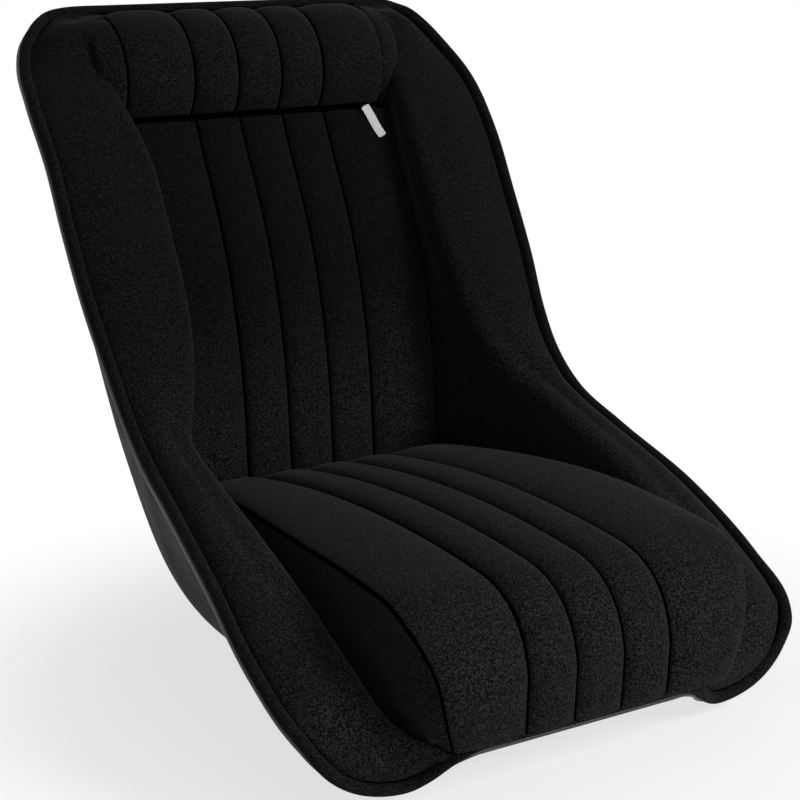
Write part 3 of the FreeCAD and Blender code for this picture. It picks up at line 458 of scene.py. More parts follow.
class Finish:
    """A node material built up from a principled shader."""

    def __init__(self, name, roughness, **sockets):
        self.material = bpy.data.materials.new(name)
        self.material.use_nodes = True
        self.tree = self.material.node_tree
        self.shader = self.tree.nodes["Principled BSDF"]
        self.shader.inputs["Roughness"].default_value = roughness
        for socket, value in sockets.items():
            self.shader.inputs[socket.replace("_", " ")].default_value = value
        self.place = self.tree.nodes.new("ShaderNodeTexCoord").outputs["Object"]

    def node(self, kind, links=(), **values):
        made = self.tree.nodes.new(kind)
        for key, value in values.items():
            if key in made.inputs:
                made.inputs[key].default_value = value
            elif key.replace("_", " ") in made.inputs:
                made.inputs[key.replace("_", " ")].default_value = value
            else:
                setattr(made, key, value)
        for source, target in links:
            self.tree.links.new(source, made.inputs[target])
        return made

    def noise(self, scale, detail=2.0):
        return self.node("ShaderNodeTexNoise", [(self.place, "Vector")], Scale=scale,
                         Detail=detail).outputs["Fac"]

    def cells(self, scale):
        return self.node("ShaderNodeTexVoronoi", [(self.place, "Vector")],
                         Scale=scale).outputs["Distance"]

    def ramp(self, source, low, high, start, end):
        made = self.node("ShaderNodeValToRGB", [(source, "Fac")])
        made.color_ramp.elements[0].position = start
        made.color_ramp.elements[1].position = end
        made.color_ramp.elements[0].color = (*low, 1)
        made.color_ramp.elements[1].color = (*high, 1)
        return made.outputs["Color"]

    def mix(self, factor, a, b):
        made = self.node("ShaderNodeMix", data_type="RGBA")
        self.tree.links.new(factor, made.inputs["Factor"])
        self.tree.links.new(a, made.inputs[6])
        self.tree.links.new(b, made.inputs[7])
        return made.outputs[2]

    def colour(self, source):
        self.tree.links.new(source, self.shader.inputs["Base Color"])

    def bumps(self, *layers):
        """Each layer is a source, a strength and a height in millimetres."""
        normal = None
        for source, strength, height in layers:
            links = [(source, "Height")]
            if normal:
                links.append((normal, "Normal"))
            normal = self.node("ShaderNodeBump", links, Strength=strength,
                               Distance=height * MM).outputs["Normal"]
        self.tree.links.new(normal, self.shader.inputs["Normal"])


def velour(name, dark, light, sheen, upper):
    """Short black pile: fine grain, clouds where the pile lies differently, a soft sheen. Higher
    up, painted shade darkens the colour for the weaker light there; upper is what is left of its
    brightness."""
    made = Finish(name, 0.95, Sheen_Weight=sheen, Sheen_Roughness=0.4, Specular_IOR_Level=0.05)
    made.shader.inputs["Sheen Tint"].default_value = (1.0, 0.97, 0.98, 1)
    grain = made.noise(900, 0)
    fleck = made.noise(560, 1)
    cloud = made.noise(22, 3)
    fine = made.ramp(grain, dark, light, 0.47, 0.58)
    deep = made.ramp(fleck, [c * 0.7 for c in dark], [c * 1.2 for c in light], 0.48, 0.60)
    soft = made.ramp(cloud, (0.3, 0.3, 0.3), (0.7, 0.7, 0.7), 0.3, 0.7)
    # Painted shade: the colour falls from full at 0.16 m height to upper at 0.36 m and above.
    height = made.node("ShaderNodeSeparateXYZ", [(made.place, "Vector")]).outputs["Z"]
    painted_top_shade = made.node("ShaderNodeMapRange", [(height, "Value")], interpolation_type="SMOOTHSTEP",
                        From_Min=0.16, From_Max=0.36, To_Min=1.0, To_Max=upper).outputs["Result"]
    both = made.mix(soft, fine, deep)
    pile = made.node("ShaderNodeVectorMath", [(both, "Vector"), (painted_top_shade, "Scale")],
                     operation="SCALE")
    made.colour(pile.outputs["Vector"])
    made.bumps((grain, 0.5, 0.3), (fleck, 0.3, 0.3), (cloud, 0.1, 1.0))
    return made.material


def gel_coat(name):
    """Glossy black moulding with a faint orange peel and roughness that varies in patches."""
    made = Finish(name, 0.55, Specular_IOR_Level=0.02)
    wave = made.noise(60, 2)
    peel = made.noise(420, 2)
    made.colour(made.ramp(wave, (0.004, 0.004, 0.0045), (0.007, 0.007, 0.008), 0.3, 0.7))
    rough = made.ramp(made.noise(35, 4), (0.5, 0.5, 0.5), (0.62, 0.62, 0.62), 0.35, 0.75)
    made.tree.links.new(rough, made.shader.inputs["Roughness"])
    made.bumps((peel, 0.05, 0.2), (wave, 0.08, 0.6))
    return made.material


def vinyl(name):
    made = Finish(name, 0.42)
    grain = made.noise(900, 2)
    shade = made.noise(40, 3)
    made.colour(made.ramp(shade, (0.01, 0.01, 0.0103), (0.017, 0.0165, 0.017), 0.3, 0.7))
    made.bumps((grain, 0.25, 0.2),)
    return made.material


def hook_tape(name):
    made = Finish(name, 0.85, Sheen_Weight=0.2)
    hooks = made.cells(800)
    made.colour(made.ramp(hooks, (0.006, 0.006, 0.006), (0.045, 0.045, 0.047), 0.1, 0.6))
    made.bumps((hooks, 0.8, 0.8),)
    return made.material


def open_foam(name):
    made = Finish(name, 0.95)
    cells = made.cells(700)
    made.colour(made.ramp(cells, (0.16, 0.155, 0.14), (0.34, 0.33, 0.3), 0.1, 0.6))
    made.bumps((cells, 0.6, 0.8),)
    return made.material


def steel(name, dark, light, roughness, metallic):
    made = Finish(name, roughness, Metallic=metallic)
    made.colour(made.ramp(made.noise(90, 4), dark, light, 0.35, 0.7))
    made.bumps((made.noise(700, 2), 0.1, 0.15),)
    return made.material


def woven(name):
    made = Finish(name, 0.8, Sheen_Weight=0.1)
    threads = made.node("ShaderNodeTexWave", [(made.place, "Vector")], Scale=520,
                        Distortion=0.4).outputs["Fac"]
    made.colour(made.ramp(threads, (0.32, 0.32, 0.31), (0.58, 0.58, 0.56), 0.2, 0.8))
    made.bumps((threads, 0.5, 0.15),)
    return made.material


PILE_DARK = (0.0003, 0.0002, 0.0003)
PILE_LIGHT = (0.0190, 0.0172, 0.0182)
# The velours carry painted shade higher up, in a different amount for each piece: upper is the
# brightness left at the top.
WING_CLOTH = velour("wing_velour", PILE_DARK, PILE_LIGHT, 0.03, 0.5)
FLUTE_CLOTH = velour("fluted_velour", PILE_DARK, PILE_LIGHT, 0.025, 0.31)
ROLL_CLOTH = velour("roll_velour", PILE_DARK, PILE_LIGHT, 0.025, 0.62)
# Near-black painted shade for faces in the depth of seams, along the edge's inner seam and under the
# head roll.
PAINTED_SEAM_SHADE = Finish("painted_seam_shade", 1.0, Base_Color=(0.0006, 0.0006, 0.0006, 1),
                    Specular_IOR_Level=0.0).material
EDGE_CLOTH = velour("edge_velour", (0.0010, 0.0009, 0.0010), (0.0130, 0.0118, 0.0125), 0.03, 0.75)
GEL_COAT = gel_coat("black_gel_coat")
VINYL = vinyl("trim_vinyl")
HOOKS = hook_tape("hook_tape")
FOAM = open_foam("open_cell_foam")
PLATE = steel("painted_plate", (0.02, 0.02, 0.022), (0.05, 0.05, 0.052), 0.45, 0.0)
ZINC = steel("zinc_plating", (0.5, 0.49, 0.46), (0.68, 0.67, 0.64), 0.32, 1.0)
TAG = woven("tag_weave")


# ---- camera, light and floor ----------------------------------------------------------------

# The camera that the photo was taken with, as fitted to the seat's mirrored seams.
FILM_WIDTH = 36
FOCAL_PIXELS = 1900
PHOTO_PIXELS = 800
CAMERA_PLACE = Vector((-938, -1427, 732))
CAMERA_WAY = Vector((0.5133, 0.8183, -0.2588))


def set_camera():
    data = bpy.data.cameras.new("photo_camera")
    camera = bpy.data.objects.new("photo_camera", data)
    bpy.context.scene.collection.objects.link(camera)
    data.sensor_width = FILM_WIDTH
    data.lens = FOCAL_PIXELS / PHOTO_PIXELS * FILM_WIDTH
    data.clip_end = 50
    camera.rotation_euler = CAMERA_WAY.normalized().to_track_quat("-Z", "Y").to_euler()
    camera.location = CAMERA_PLACE * MM
    bpy.context.scene.camera = camera


def area_light(name, place, aim, wide, power):
    data = bpy.data.lights.new(name, "AREA")
    data.shape = "RECTANGLE"
    data.size = wide[0]
    data.size_y = wide[1]
    data.energy = power
    lamp = bpy.data.objects.new(name, data)
    lamp.location = place
    lamp.rotation_euler = (Vector(aim) - Vector(place)).to_track_quat("-Z", "Y").to_euler()
    bpy.context.scene.collection.objects.link(lamp)


def seen_directly(tree):
    """1 for rays from the camera and for reflections and transmission, 0 for all others."""
    rays = tree.nodes.new("ShaderNodeLightPath")
    total = rays.outputs["Is Camera Ray"]
    for ray in ("Is Glossy Ray", "Is Transmission Ray"):
        most = tree.nodes.new("ShaderNodeMath")
        most.operation = "MAXIMUM"
        tree.links.new(total, most.inputs[0])
        tree.links.new(rays.outputs[ray], most.inputs[1])
        total = most.outputs[0]
    return total


def set_world():
    world = bpy.data.worlds.new("studio")
    bpy.context.scene.world = world
    world.use_nodes = True
    tree = world.node_tree
    back = tree.nodes["Background"]
    strength = tree.nodes.new("ShaderNodeMapRange")
    strength.inputs["To Min"].default_value = 0.15
    strength.inputs["To Max"].default_value = 1.0
    tree.links.new(seen_directly(tree), strength.inputs["Value"])
    tree.links.new(strength.outputs["Result"], back.inputs["Strength"])
    back.inputs["Color"].default_value = (1, 1, 1, 1)


def set_floor():
    """Pale floor that keeps the shadow near the seat and is plain white further out."""
    bpy.ops.mesh.primitive_plane_add(size=60, location=(0, 0, -0.0005))
    floor = bpy.context.active_object
    floor.name = "floor"
    material = bpy.data.materials.new("pale_floor")
    material.use_nodes = True
    tree = material.node_tree
    shader = tree.nodes["Principled BSDF"]
    shader.inputs["Base Color"].default_value = (0.8, 0.8, 0.8, 1)
    shader.inputs["Roughness"].default_value = 0.95
    shader.inputs["Specular IOR Level"].default_value = 0.0
    place = tree.nodes.new("ShaderNodeTexCoord")
    far = tree.nodes.new("ShaderNodeVectorMath")
    far.operation = "LENGTH"
    tree.links.new(place.outputs["Object"], far.inputs[0])
    fade = tree.nodes.new("ShaderNodeMapRange")
    fade.interpolation_type = "SMOOTHSTEP"
    fade.inputs["From Min"].default_value = 0.28
    fade.inputs["From Max"].default_value = 0.62
    fade.inputs["To Min"].default_value = 0.72
    tree.links.new(far.outputs["Value"], fade.inputs["Value"])
    share = tree.nodes.new("ShaderNodeMath")
    share.operation = "MULTIPLY"
    tree.links.new(fade.outputs["Result"], share.inputs[0])
    tree.links.new(seen_directly(tree), share.inputs[1])
    white = tree.nodes.new("ShaderNodeEmission")
    mix = tree.nodes.new("ShaderNodeMixShader")
    tree.links.new(share.outputs[0], mix.inputs["Fac"])
    tree.links.new(shader.outputs[0], mix.inputs[1])
    tree.links.new(white.outputs[0], mix.inputs[2])
    tree.links.new(mix.outputs[0], tree.nodes["Material Output"].inputs["Surface"])
    floor.data.materials.append(material)


def set_stage():
    bpy.context.scene.view_settings.view_transform = "Standard"
    set_camera()
    set_world()
    set_floor()
    area_light("key", (1.5, -1.9, 1.6), (0, 0, 0.2), (1.0, 1.0), 64)
    area_light("front", (-0.2, -2.0, 0.35), (0, 0, 0.15), (1.2, 0.5), 13)
    area_light("top", (-0.4, 0.3, 2.6), (0, 0.1, 0.2), (1.6, 1.6), 6)


# ---- wings ----------------------------------------------------------------------------------

# Points of a ring across a wing: its back, its face, the turn at the crest and the fall to the foot.
WING_BACK = 12
WING_FACE, WING_TURN, WING_FALL = 12, 8, 14
WING_FRONT = WING_FACE + WING_TURN + WING_FALL
WING_FREE = WING_FRONT - 4
WING_SWELL = 6.5
END_SWELL = 3
TOE_RADIUS = 9
CROWN_RADIUS = 12
RINGS_PER_RIB = 10
ELBOW_SINK = 2.2
# The wing's crest and foot round the toe, and how far along the rim from the side's corner.
TOE_CREST = ((174, -206, 80), (160, -222, 71), (148, -232, 60), (139, -238, 48))
TOE_FOOT = ((168, -200, 26), (158, -210, 27), (148, -219, 32), (140, -228, 38))
TOE_RIM = (40.0, 80.0, 118.0, 150.0)
# Beside the head roll the wing runs into the roll's end, at half steps of the ribs.
TOP_START = 10.0
TOP_CREST = ((161, 345, 550), (164, 361, 568), (171, 367, 583), (177, 373, 595))
TOP_FOOT = ((160, 378, 528), (160, 380, 549), (158, 379, 566), (156, 375, 581), (155, 373, 593))
# The same round the crown's corner.
CROWN_CREST = ((173, 383, 601), (167, 392, 606), (159, 400, 608), (151, 405, 610))
CROWN_FOOT = ((154, 377, 600), (153, 386, 606), (151, 393, 609), (149, 398, 610))
CROWN_RIM = (22.0, 44.0, 66.0, 86.0)


def wing_section(edge, crest, foot, hollow, swell, radius):
    """Padded face from the rim over the crest to the foot, in the plane of its three points."""
    over = (crest - edge).normalized()
    down = (foot - crest).normalized()
    side = (down - over * down.dot(over)).normalized()
    inward = (over - down * over.dot(down)).normalized()
    turn = over.angle(down)
    reach = min(radius * math.tan(turn / 2), 0.45 * (crest - edge).length,
                0.6 * (foot - crest).length)
    first = crest - over * reach
    second = crest + down * reach
    bow = min(hollow, 0.08 * (foot - second).length)
    points = bend(edge, (edge + first) * 0.5 - side * swell, first, WING_FACE)
    points += bend(first, ((first + second) * 0.5 + crest) * 0.5, second, WING_TURN)
    points += bend(second, (second + foot) * 0.5 - inward * bow, foot, WING_FALL)
    return points


def crest_radius(u):
    """Rounding of the crest, tighter at the shoulder and wide beside the head roll."""
    return 22 - 6 * smooth((u - 10) / 2) + 10 * smooth((u - 11.5) / 1.5)


def wing_rings(path):
    """Rings across the right wing from its tip at the toe, along the seat and up to the crown."""
    rings = []
    at = [0.0]
    for before, after in zip(path, path[1:]):
        at.append(at[-1] + (after[0] - before[0]).length)

    def rim_at(distance):
        k = min(max(sum(1 for value in at if value <= distance), 1), len(at) - 1)
        share = (distance - at[k - 1]) / (at[k] - at[k - 1])
        rows = zip(path[k - 1], path[k])
        return [a.lerp(b, share) for a, b in rows]

    def on_rib(u):
        rib = Rib(u)
        into = left_of(rib.end_way)
        edge = rib.end + into * (WALL / 2 + ROLL + 1.4) + rib.end_way * 3
        foot = rib.on_wall(rib.foot, LINING)[0]
        low = rib.end + into * LINING - rib.end_way
        return [rib.place(p) for p in (edge, rib.crest, foot, low)]

    rows = [on_rib(TOP_START + n / 2) for n in range(3)]
    top_crest = through([row[1] for row in rows] + list(TOP_CREST))
    top_foot = through([row[2] for row in rows[:2]] + list(TOP_FOOT))

    def guide_row(u):
        edge, crest, foot, low = on_rib(u)
        if u > TOP_START:
            crest = Vector(top_crest(2 * (u - TOP_START)))
            foot = Vector(top_foot(2 * (u - TOP_START)))
        return [edge, crest, foot, low]

    def nearest_to_rim(rib):
        end = rib.place(rib.end)
        return min(range(len(path)), key=lambda n: (path[n][0] - end).length)

    side_start, side_end = nearest_to_rim(Rib(0)), nearest_to_rim(Rib(LAST))

    def corner_rows(rims, crests, feet, start, sign, keys):
        for rim, crest, foot in zip(rims, crests, feet):
            point, out, back = rim_at(at[start] + sign * rim)
            keys.append([point + out * 3 - back * 8.4, Vector(crest), Vector(foot),
                         point - out * 1 - back * 3.4])
        curves = [through([key[n] for key in keys]) for n in range(4)]
        rows = []
        count = 6 * len(crests)
        for n in range(1, count + 1):
            rows.append([Vector(curve(2 + n / 6)) for curve in curves])
        return rows

    toe = corner_rows(TOE_RIM, TOE_CREST, TOE_FOOT, side_start, -1,
                      [guide_row(u) for u in (1, 0.5, 0)])
    for edge, crest, foot, low in reversed(toe):
        share = len(rings) / len(toe)
        front = wing_section(edge, crest, foot, HOLLOW_SEAT,
                             END_SWELL + (WING_SWELL - END_SWELL) * share,
                             TOE_RADIUS + (crest_radius(0) - TOE_RADIUS) * share)
        back = [foot.lerp(low, n / WING_BACK) for n in range(WING_BACK)] + [low]
        rings.append(front + back)
    for n in range(RINGS_PER_RIB * LAST + 1):
        u = n / RINGS_PER_RIB
        rib = Rib(u)
        edge, crest, foot, low = guide_row(u)
        front = wing_section(edge, crest, foot, rib.hollow, WING_SWELL, crest_radius(u))
        start, rest = rib.on_wall(rib.foot, LINING)
        wall = [start] + rest
        picks = [wall[int(k * (len(wall) - 2) / WING_BACK)] for k in range(WING_BACK)]
        rings.append(front + [foot] + [rib.place(p) for p in picks[1:]] + [low])
    crown = corner_rows(CROWN_RIM, CROWN_CREST, CROWN_FOOT, side_end, 1,
                        [guide_row(u) for u in (LAST - 1, LAST - 0.5, LAST)])
    for n, (edge, crest, foot, low) in enumerate(crown):
        share = smooth((n + 1) / len(crown))
        front = wing_section(edge, crest, foot, HOLLOW_SEAT,
                             WING_SWELL - (WING_SWELL - END_SWELL) * share,
                             crest_radius(LAST) - (crest_radius(LAST) - CROWN_RADIUS) * share)
        back = [foot.lerp(low, n / WING_BACK) for n in range(WING_BACK)] + [low]
        rings.append(front + back)
    return rings, len(toe)


def make_wings(path):
    rings, toe_count = wing_rings(path)
    elbow_ring = toe_count + int(RINGS_PER_RIB * ELBOW)
    loose = []
    for i, ring in enumerate(rings):
        ends = smooth(min(i, len(rings) - 1 - i) / 5)
        seam = smooth(abs(i - elbow_ring) / 3)
        for j in range(len(ring)):
            across = smooth(min(j, WING_FREE - j) / 7) if j <= WING_FREE else 0.0
            loose.append(across * ends * seam)
    groove = elbow_groove(rings, elbow_ring)
    for name, side in SIDES:
        points = [[Vector((p.x * side, p.y, p.z)) for p in ring] for ring in groove]
        piece = ring_piece("wing_pad_" + name, points)
        plump(piece, np.array(loose), 0.9)
        round_off(piece)
        nodes = ["wing_%s_%s_%s" % (kind, part, name) for kind in ("cover", "foam")
                 for part in ("lower", "upper")]
        finish_piece(piece, "seat", WING_CLOTH, nodes)


def elbow_groove(rings, elbow_ring):
    """Sink the sewn seam that crosses each wing at the elbow."""
    sunk = [list(ring) for ring in rings]
    for j in range(1, WING_FRONT - 2):
        here = rings[elbow_ring][j]
        across = rings[elbow_ring][j + 1] - rings[elbow_ring][j - 1]
        ahead = rings[elbow_ring + 1][j] - rings[elbow_ring - 1][j]
        inside = across.cross(ahead).normalized()
        centre = sum(rings[elbow_ring], Vector()) / len(rings[elbow_ring])
        if inside.dot(centre - here) < 0:
            inside = -inside
        sunk[elbow_ring][j] = here + inside * ELBOW_SINK
    return sunk


# ---- edge trim ------------------------------------------------------------------------------

# Sections of the rolled edge and its bead: out from the rim, and to the back of the wall.
ROLL_SECTION = ((-6, -2.3), (-1, -3.3), (1.8, -5.0), (5.4, -5.7), (8.6, -4.5), (10.5, -1.7),
                (10.6, 1.6), (8.8, 4.3), (5.8, 5.6), (2.8, 5.0), (1.2, 3.4), (0.4, 2.4),
                (0.2, 0.5), (-0.2, -1.2), (-0.6, -2.1))
WELT_SECTION = ((1.2, 3.6), (1.7, 5.2), (1.3, 6.9), (-0.4, 7.9), (-2.2, 7.2), (-3.0, 5.6),
                (-4.0, 4.4), (-8, 4.0), (-13, 3.8), (-15, 3.3), (-15.3, 2.5), (-13, 2.2),
                (-7, 2.2), (-1, 2.3), (0.6, 3.0))


def sweep(name, path, section):
    """Closed loop of one section along the whole rim."""
    right = [[point + out * a + back * b for a, b in section] for point, out, back in path]
    left = [[Vector((-p.x, p.y, p.z)) for p in ring] for ring in reversed(right[1:-1])]
    return ring_piece(name, right + left, closed=True)


def make_edges(path):
    """Rolled edge with painted shade along its inner seam, and the bead that covers its raw side."""
    roll = sweep("edge_binding", path, ROLL_SECTION)
    round_off(roll)
    nodes = ("edge_roll_left", "edge_roll_right")
    finish_piece(roll, "seat", EDGE_CLOTH, nodes)
    width = len(ROLL_SECTION)
    # Painted shade on the two faces along the roll's inner seam.
    paint_seam_shade(roll, {n for n in range(len(roll.data.polygons)) if n % width in (0, 1)})
    welt = sweep("edge_welt", path, WELT_SECTION)
    round_off(welt)
    finish_piece(welt, "seat", VINYL, ("edge_welt_left", "edge_welt_right"))


# ---- fluted pads ----------------------------------------------------------------------------

# A seam lies this deep below the cover's plane, and the seams along its sides this deep.
SEAM_SINK = 4.6
EDGE_SINK = 1.6
FLUTE_STEPS = 12
FLUTE_CROWN = 7.2
WIDE_CROWN = 8.0
FLUTE_FLATNESS = 3.6
PANEL_HALF = 155.0
ROLL_HALF = 150.0


def flute_row(half, per_flute=FLUTE_STEPS):
    """Points across a fluted cover: distance across, rise of the flute and how free it is."""
    seams = [-half] + [n * FLUTE_PITCH for n in (-1.5, -0.5, 0.5, 1.5)] + [half]
    row = []
    for n, (a, b) in enumerate(zip(seams, seams[1:])):
        crown = WIDE_CROWN if n in (0, 4) else FLUTE_CROWN
        for k in range(per_flute):
            t = 0.5 - 0.5 * math.cos(math.pi * k / per_flute)
            sink = 0.0 if k else SEAM_SINK if n else EDGE_SINK
            rise = crown * (1 - abs(2 * t - 1) ** FLUTE_FLATNESS) - sink
            free = 0.0 if k == 0 else min(1.0, math.sin(math.pi * t) * 1.4)
            row.append((a + (b - a) * t, rise, free))
    row.append((half, -EDGE_SINK, 0.0))
    return row


def back_frame(u):
    """Point on the floor line of the back, and the way forward from it."""
    step = 0.01
    ahead = Vector((0, *FLOOR_LINE(u + step))) - Vector((0, *FLOOR_LINE(u - step)))
    return Vector((0, *FLOOR_LINE(u))), Vector((0, -ahead.z, ahead.y)).normalized()


# How far the back pad's foam and its seams stand off the outside of the shell.
PANEL_FOAM = WALL + 1
PANEL_SEAM = WALL + 41.2
PANEL_BOTTOM = 110
ROLL_CENTRE = (404, 547)
ROLL_REACH = (63, 61)
ROLL_SEAM_ANGLE = math.radians(217)
ROLL_TOP_ANGLE = math.radians(84)
ROLL_TUCK_ANGLE = math.radians(229)
ROLL_SEAM_HEIGHT = ROLL_CENTRE[1] + ROLL_REACH[1] * math.sin(ROLL_SEAM_ANGLE)


def back_step(height):
    """Place on the ribs where the back pad's seams are at this height."""
    low, high = ELBOW, float(LAST)
    for _ in range(30):
        u = (low + high) / 2
        origin, ahead = back_frame(u)
        if (origin + ahead * PANEL_SEAM).z < height:
            low = u
        else:
            high = u
    return low


def make_back_panel():
    """Fluted back pad from behind the cushion to the tuck under the head roll."""
    half = PANEL_HALF
    row = flute_row(half)
    rings = []
    loose = []
    first = back_step(PANEL_BOTTOM)
    last = back_step(ROLL_SEAM_HEIGHT - 3)
    count = 84
    for i in range(count + 1):
        u = first + (last - first) * i / count
        origin, ahead = back_frame(u)
        flat = min(half - 3, SHAPE_LINE(u)[0] - 1)
        ring = []
        ends = smooth(min(i, count - i) / 4)
        for x, rise, free in row:
            out = PANEL_SEAM + rise * (0.4 + 0.6 * ends)
            ring.append(origin + Vector((x, 0, 0)) + ahead * out)
            loose.append(free * ends)
        side = ((half - 0.5, 36), (half - 1.5, 24), ((half + flat) / 2, 13), (flat, PANEL_FOAM),
                (flat * 0.5, PANEL_FOAM))
        for x, out in side + ((0, PANEL_FOAM),) + tuple((-x, out) for x, out in reversed(side)):
            ring.append(origin + Vector((x, 0, 0)) + ahead * out)
            loose.append(0.0)
        rings.append(ring)
    piece = ring_piece("back_panel", rings)
    plump(piece, np.array(loose), 1.8)
    round_off(piece)
    nodes = ("back_panel_cover", "back_panel_foam")
    finish_piece(piece, "seat", FLUTE_CLOTH, nodes)
    # Painted shade on the seam faces and on the top row, which lies in the shadow under the head
    # roll.
    paint_seam_shade(piece, flute_seams(len(row), len(rings[0]), len(rings), (count - 1,)))


# The rounded ends of the head roll: how far past the end seam, and the share of the roll's depth.
ROLL_END_CAP = ((3, 0.99), (8, 0.965), (13, 0.93), (18, 0.89), (23, 0.845), (27, 0.79),
                (28, 0.6), (18, 0.1))


def make_head_roll():
    """Roll from the crown, round the front and tucked under, with its back on the shell."""
    half = ROLL_HALF
    row = flute_row(half)
    rings = []
    loose = []
    count = 40
    seam_u = back_step(ROLL_SEAM_HEIGHT - 4)
    for i in range(count + 1):
        share = i / count
        angle = ROLL_TOP_ANGLE + share * (ROLL_TUCK_ANGLE - ROLL_TOP_ANGLE)
        front = Vector((0, ROLL_CENTRE[0] + ROLL_REACH[0] * math.cos(angle),
                        ROLL_CENTRE[1] + ROLL_REACH[1] * math.sin(angle)))
        origin, ahead = back_frame(LAST - 0.2 + share * (seam_u - LAST + 0.2))
        back = origin + ahead * LINING
        way = (front - back).normalized()
        reach = (front - back).length
        ends = smooth(min(i, count - i) / 3)
        ring = []
        for x, rise, free in row:
            ring.append(back + Vector((x, 0, 0)) + way * (reach + rise * (0.35 + 0.65 * ends)))
            loose.append(free * ends)
        for out, t in ROLL_END_CAP:
            ring.append(back + Vector((half + out, 0, 0)) + way * (reach * t + 1.2 * ends))
            loose.append(0.0)
        for x in (half, half * 0.5, 0, -half * 0.5, -half):
            ring.append(back + Vector((x, 0, 0)))
            loose.append(0.0)
        for out, t in reversed(ROLL_END_CAP):
            ring.append(back + Vector((-half - out, 0, 0)) + way * (reach * t + 1.2 * ends))
            loose.append(0.0)
        rings.append(ring)
    piece = ring_piece("head_roll", rings)
    plump(piece, np.array(loose), 1.8)
    round_off(piece)
    nodes = ("head_roll_cover", "head_roll_foam", "head_roll_cap_left", "head_roll_cap_right")
    finish_piece(piece, "seat", ROLL_CLOTH, nodes)
    # The rows tucked under the roll get painted shade too, for the shadow beneath it.
    tucked = [i for i in range(count) if i > 0.92 * count]
    paint_seam_shade(piece, flute_seams(len(row), len(rings[0]), len(rings), tucked))


class Cushion:
    """Stations along the cushion's seam line from the rear, over the knee, to the hem."""

    REAR = Vector((229, 149, 0))
    MID = Vector((28, 178, 0))
    KNEE = Vector((-176, 175, 0))
    FRONT = Vector((-252, 104, 0))
    HEM = Vector((-249, 51, 0))
    HALF_REAR = 149.0
    HALF = 178.0
    HALF_TURN = 159.0
    HALF_HEM = 148.0
    BASE_HALF_REAR = 118
    BASE_HALF_FRONT = 152
    SEAT_STEPS, KNEE_STEPS, HEM_STEPS = 50, 22, 11
    BASE_REAR = Vector((0, 202, 37))
    BASE_FRONT = Vector((0, -196, 37))
    NOSE = Vector((0, -238, 62))
    BASE_SHARE = 0.72

    def __init__(self):
        seat = bend(self.REAR, self.MID, self.KNEE, self.SEAT_STEPS)
        knee_way = (self.KNEE - seat[-1]).normalized()
        front_way = (self.HEM - self.FRONT).normalized()
        turn = arc_middle(self.KNEE, self.FRONT, knee_way.angle(front_way))
        knee = bend(self.KNEE, turn, self.FRONT, self.KNEE_STEPS)
        hem = [self.FRONT.lerp(self.HEM, n / self.HEM_STEPS) for n in range(self.HEM_STEPS + 1)]
        self.points = seat + knee + hem
        widen, narrow = self.HALF - self.HALF_REAR, self.HALF - self.HALF_TURN
        self.halves = [self.HALF_REAR + smooth(1.35 * n / self.SEAT_STEPS) * widen
                       for n in range(self.SEAT_STEPS)]
        self.halves += [self.HALF - smooth((n / self.KNEE_STEPS - 0.3) / 0.9) * narrow
                        for n in range(self.KNEE_STEPS)]
        turned = self.halves[-1]
        self.halves += [turned + (self.HALF_HEM - turned) * n / self.HEM_STEPS
                        for n in range(self.HEM_STEPS + 1)]

    def frame(self, n):
        before = self.points[max(n - 1, 0)]
        after = self.points[min(n + 1, len(self.points) - 1)]
        way = (after - before).normalized()
        point = self.points[n]
        return Vector((0, point.x, point.y)), Vector((0, way.y, -way.x))

    def bottom(self, share):
        """Point on the underside, level from the rear and then rising to the nose."""
        turn = self.BASE_SHARE
        rise = smooth((share - turn + 0.12) / 0.24)
        level = self.BASE_REAR + (self.BASE_FRONT - self.BASE_REAR) * (share / turn)
        climb = (self.NOSE - self.BASE_FRONT) * ((share - turn) / (1 - turn))
        return level.lerp(self.BASE_FRONT + climb, rise)


SIDE_STEPS = 12


def make_cushion():
    """Fluted cover over the knee to the hem, plain sides and a flat underside."""
    cushion = Cushion()
    rings = []
    loose = []
    count = len(cushion.points)
    for n in range(count):
        share = n / (count - 1)
        seam, out = cushion.frame(n)
        half = cushion.halves[n]
        low = cushion.bottom(share)
        wider = smooth(1.6 * share) * (cushion.BASE_HALF_FRONT - cushion.BASE_HALF_REAR)
        low_half = min(cushion.BASE_HALF_REAR + wider, half)
        ends = smooth(min(n, count - 1 - n) / 4)
        ring = []
        for x, rise, free in flute_row(half):
            ring.append(seam + Vector((x, 0, 0)) + out * rise * (0.3 + 0.7 * ends))
            loose.append(free * ends)
        side = []
        for k in range(1, SIDE_STEPS):
            t = k / SIDE_STEPS
            bulge = 5.0 * math.sin(math.pi * t) - 1.5 * (1 - t) ** 6
            across = half + (low_half - half) * t + bulge
            height = seam.lerp(low, t)
            side.append((across, height, smooth(min(t, 1 - t) * 3.3) * ends))
        for across, height, free in side:
            ring.append(height + Vector((across, 0, 0)))
            loose.append(free)
        for k in range(9):
            ring.append(low + Vector((low_half * (1 - k / 4), 0, 0)))
            loose.append(0.0)
        for across, height, free in reversed(side):
            ring.append(height - Vector((across, 0, 0)))
            loose.append(free)
        rings.append(ring)
    piece = ring_piece("seat_cushion_pad", rings)
    plump(piece, np.array(loose), 1.8)
    round_off(piece)
    nodes = ("cushion_cover", "cushion_foam", "cushion_underside",
             "cushion_side_left", "cushion_side_right")
    finish_piece(piece, "seat_cushion", FLUTE_CLOTH, nodes)
    # Painted shade along the seams of the flutes.
    paint_seam_shade(piece, flute_seams(5 * FLUTE_STEPS + 1, len(rings[0]), len(rings)))


# ---- small pieces ---------------------------------------------------------------------------

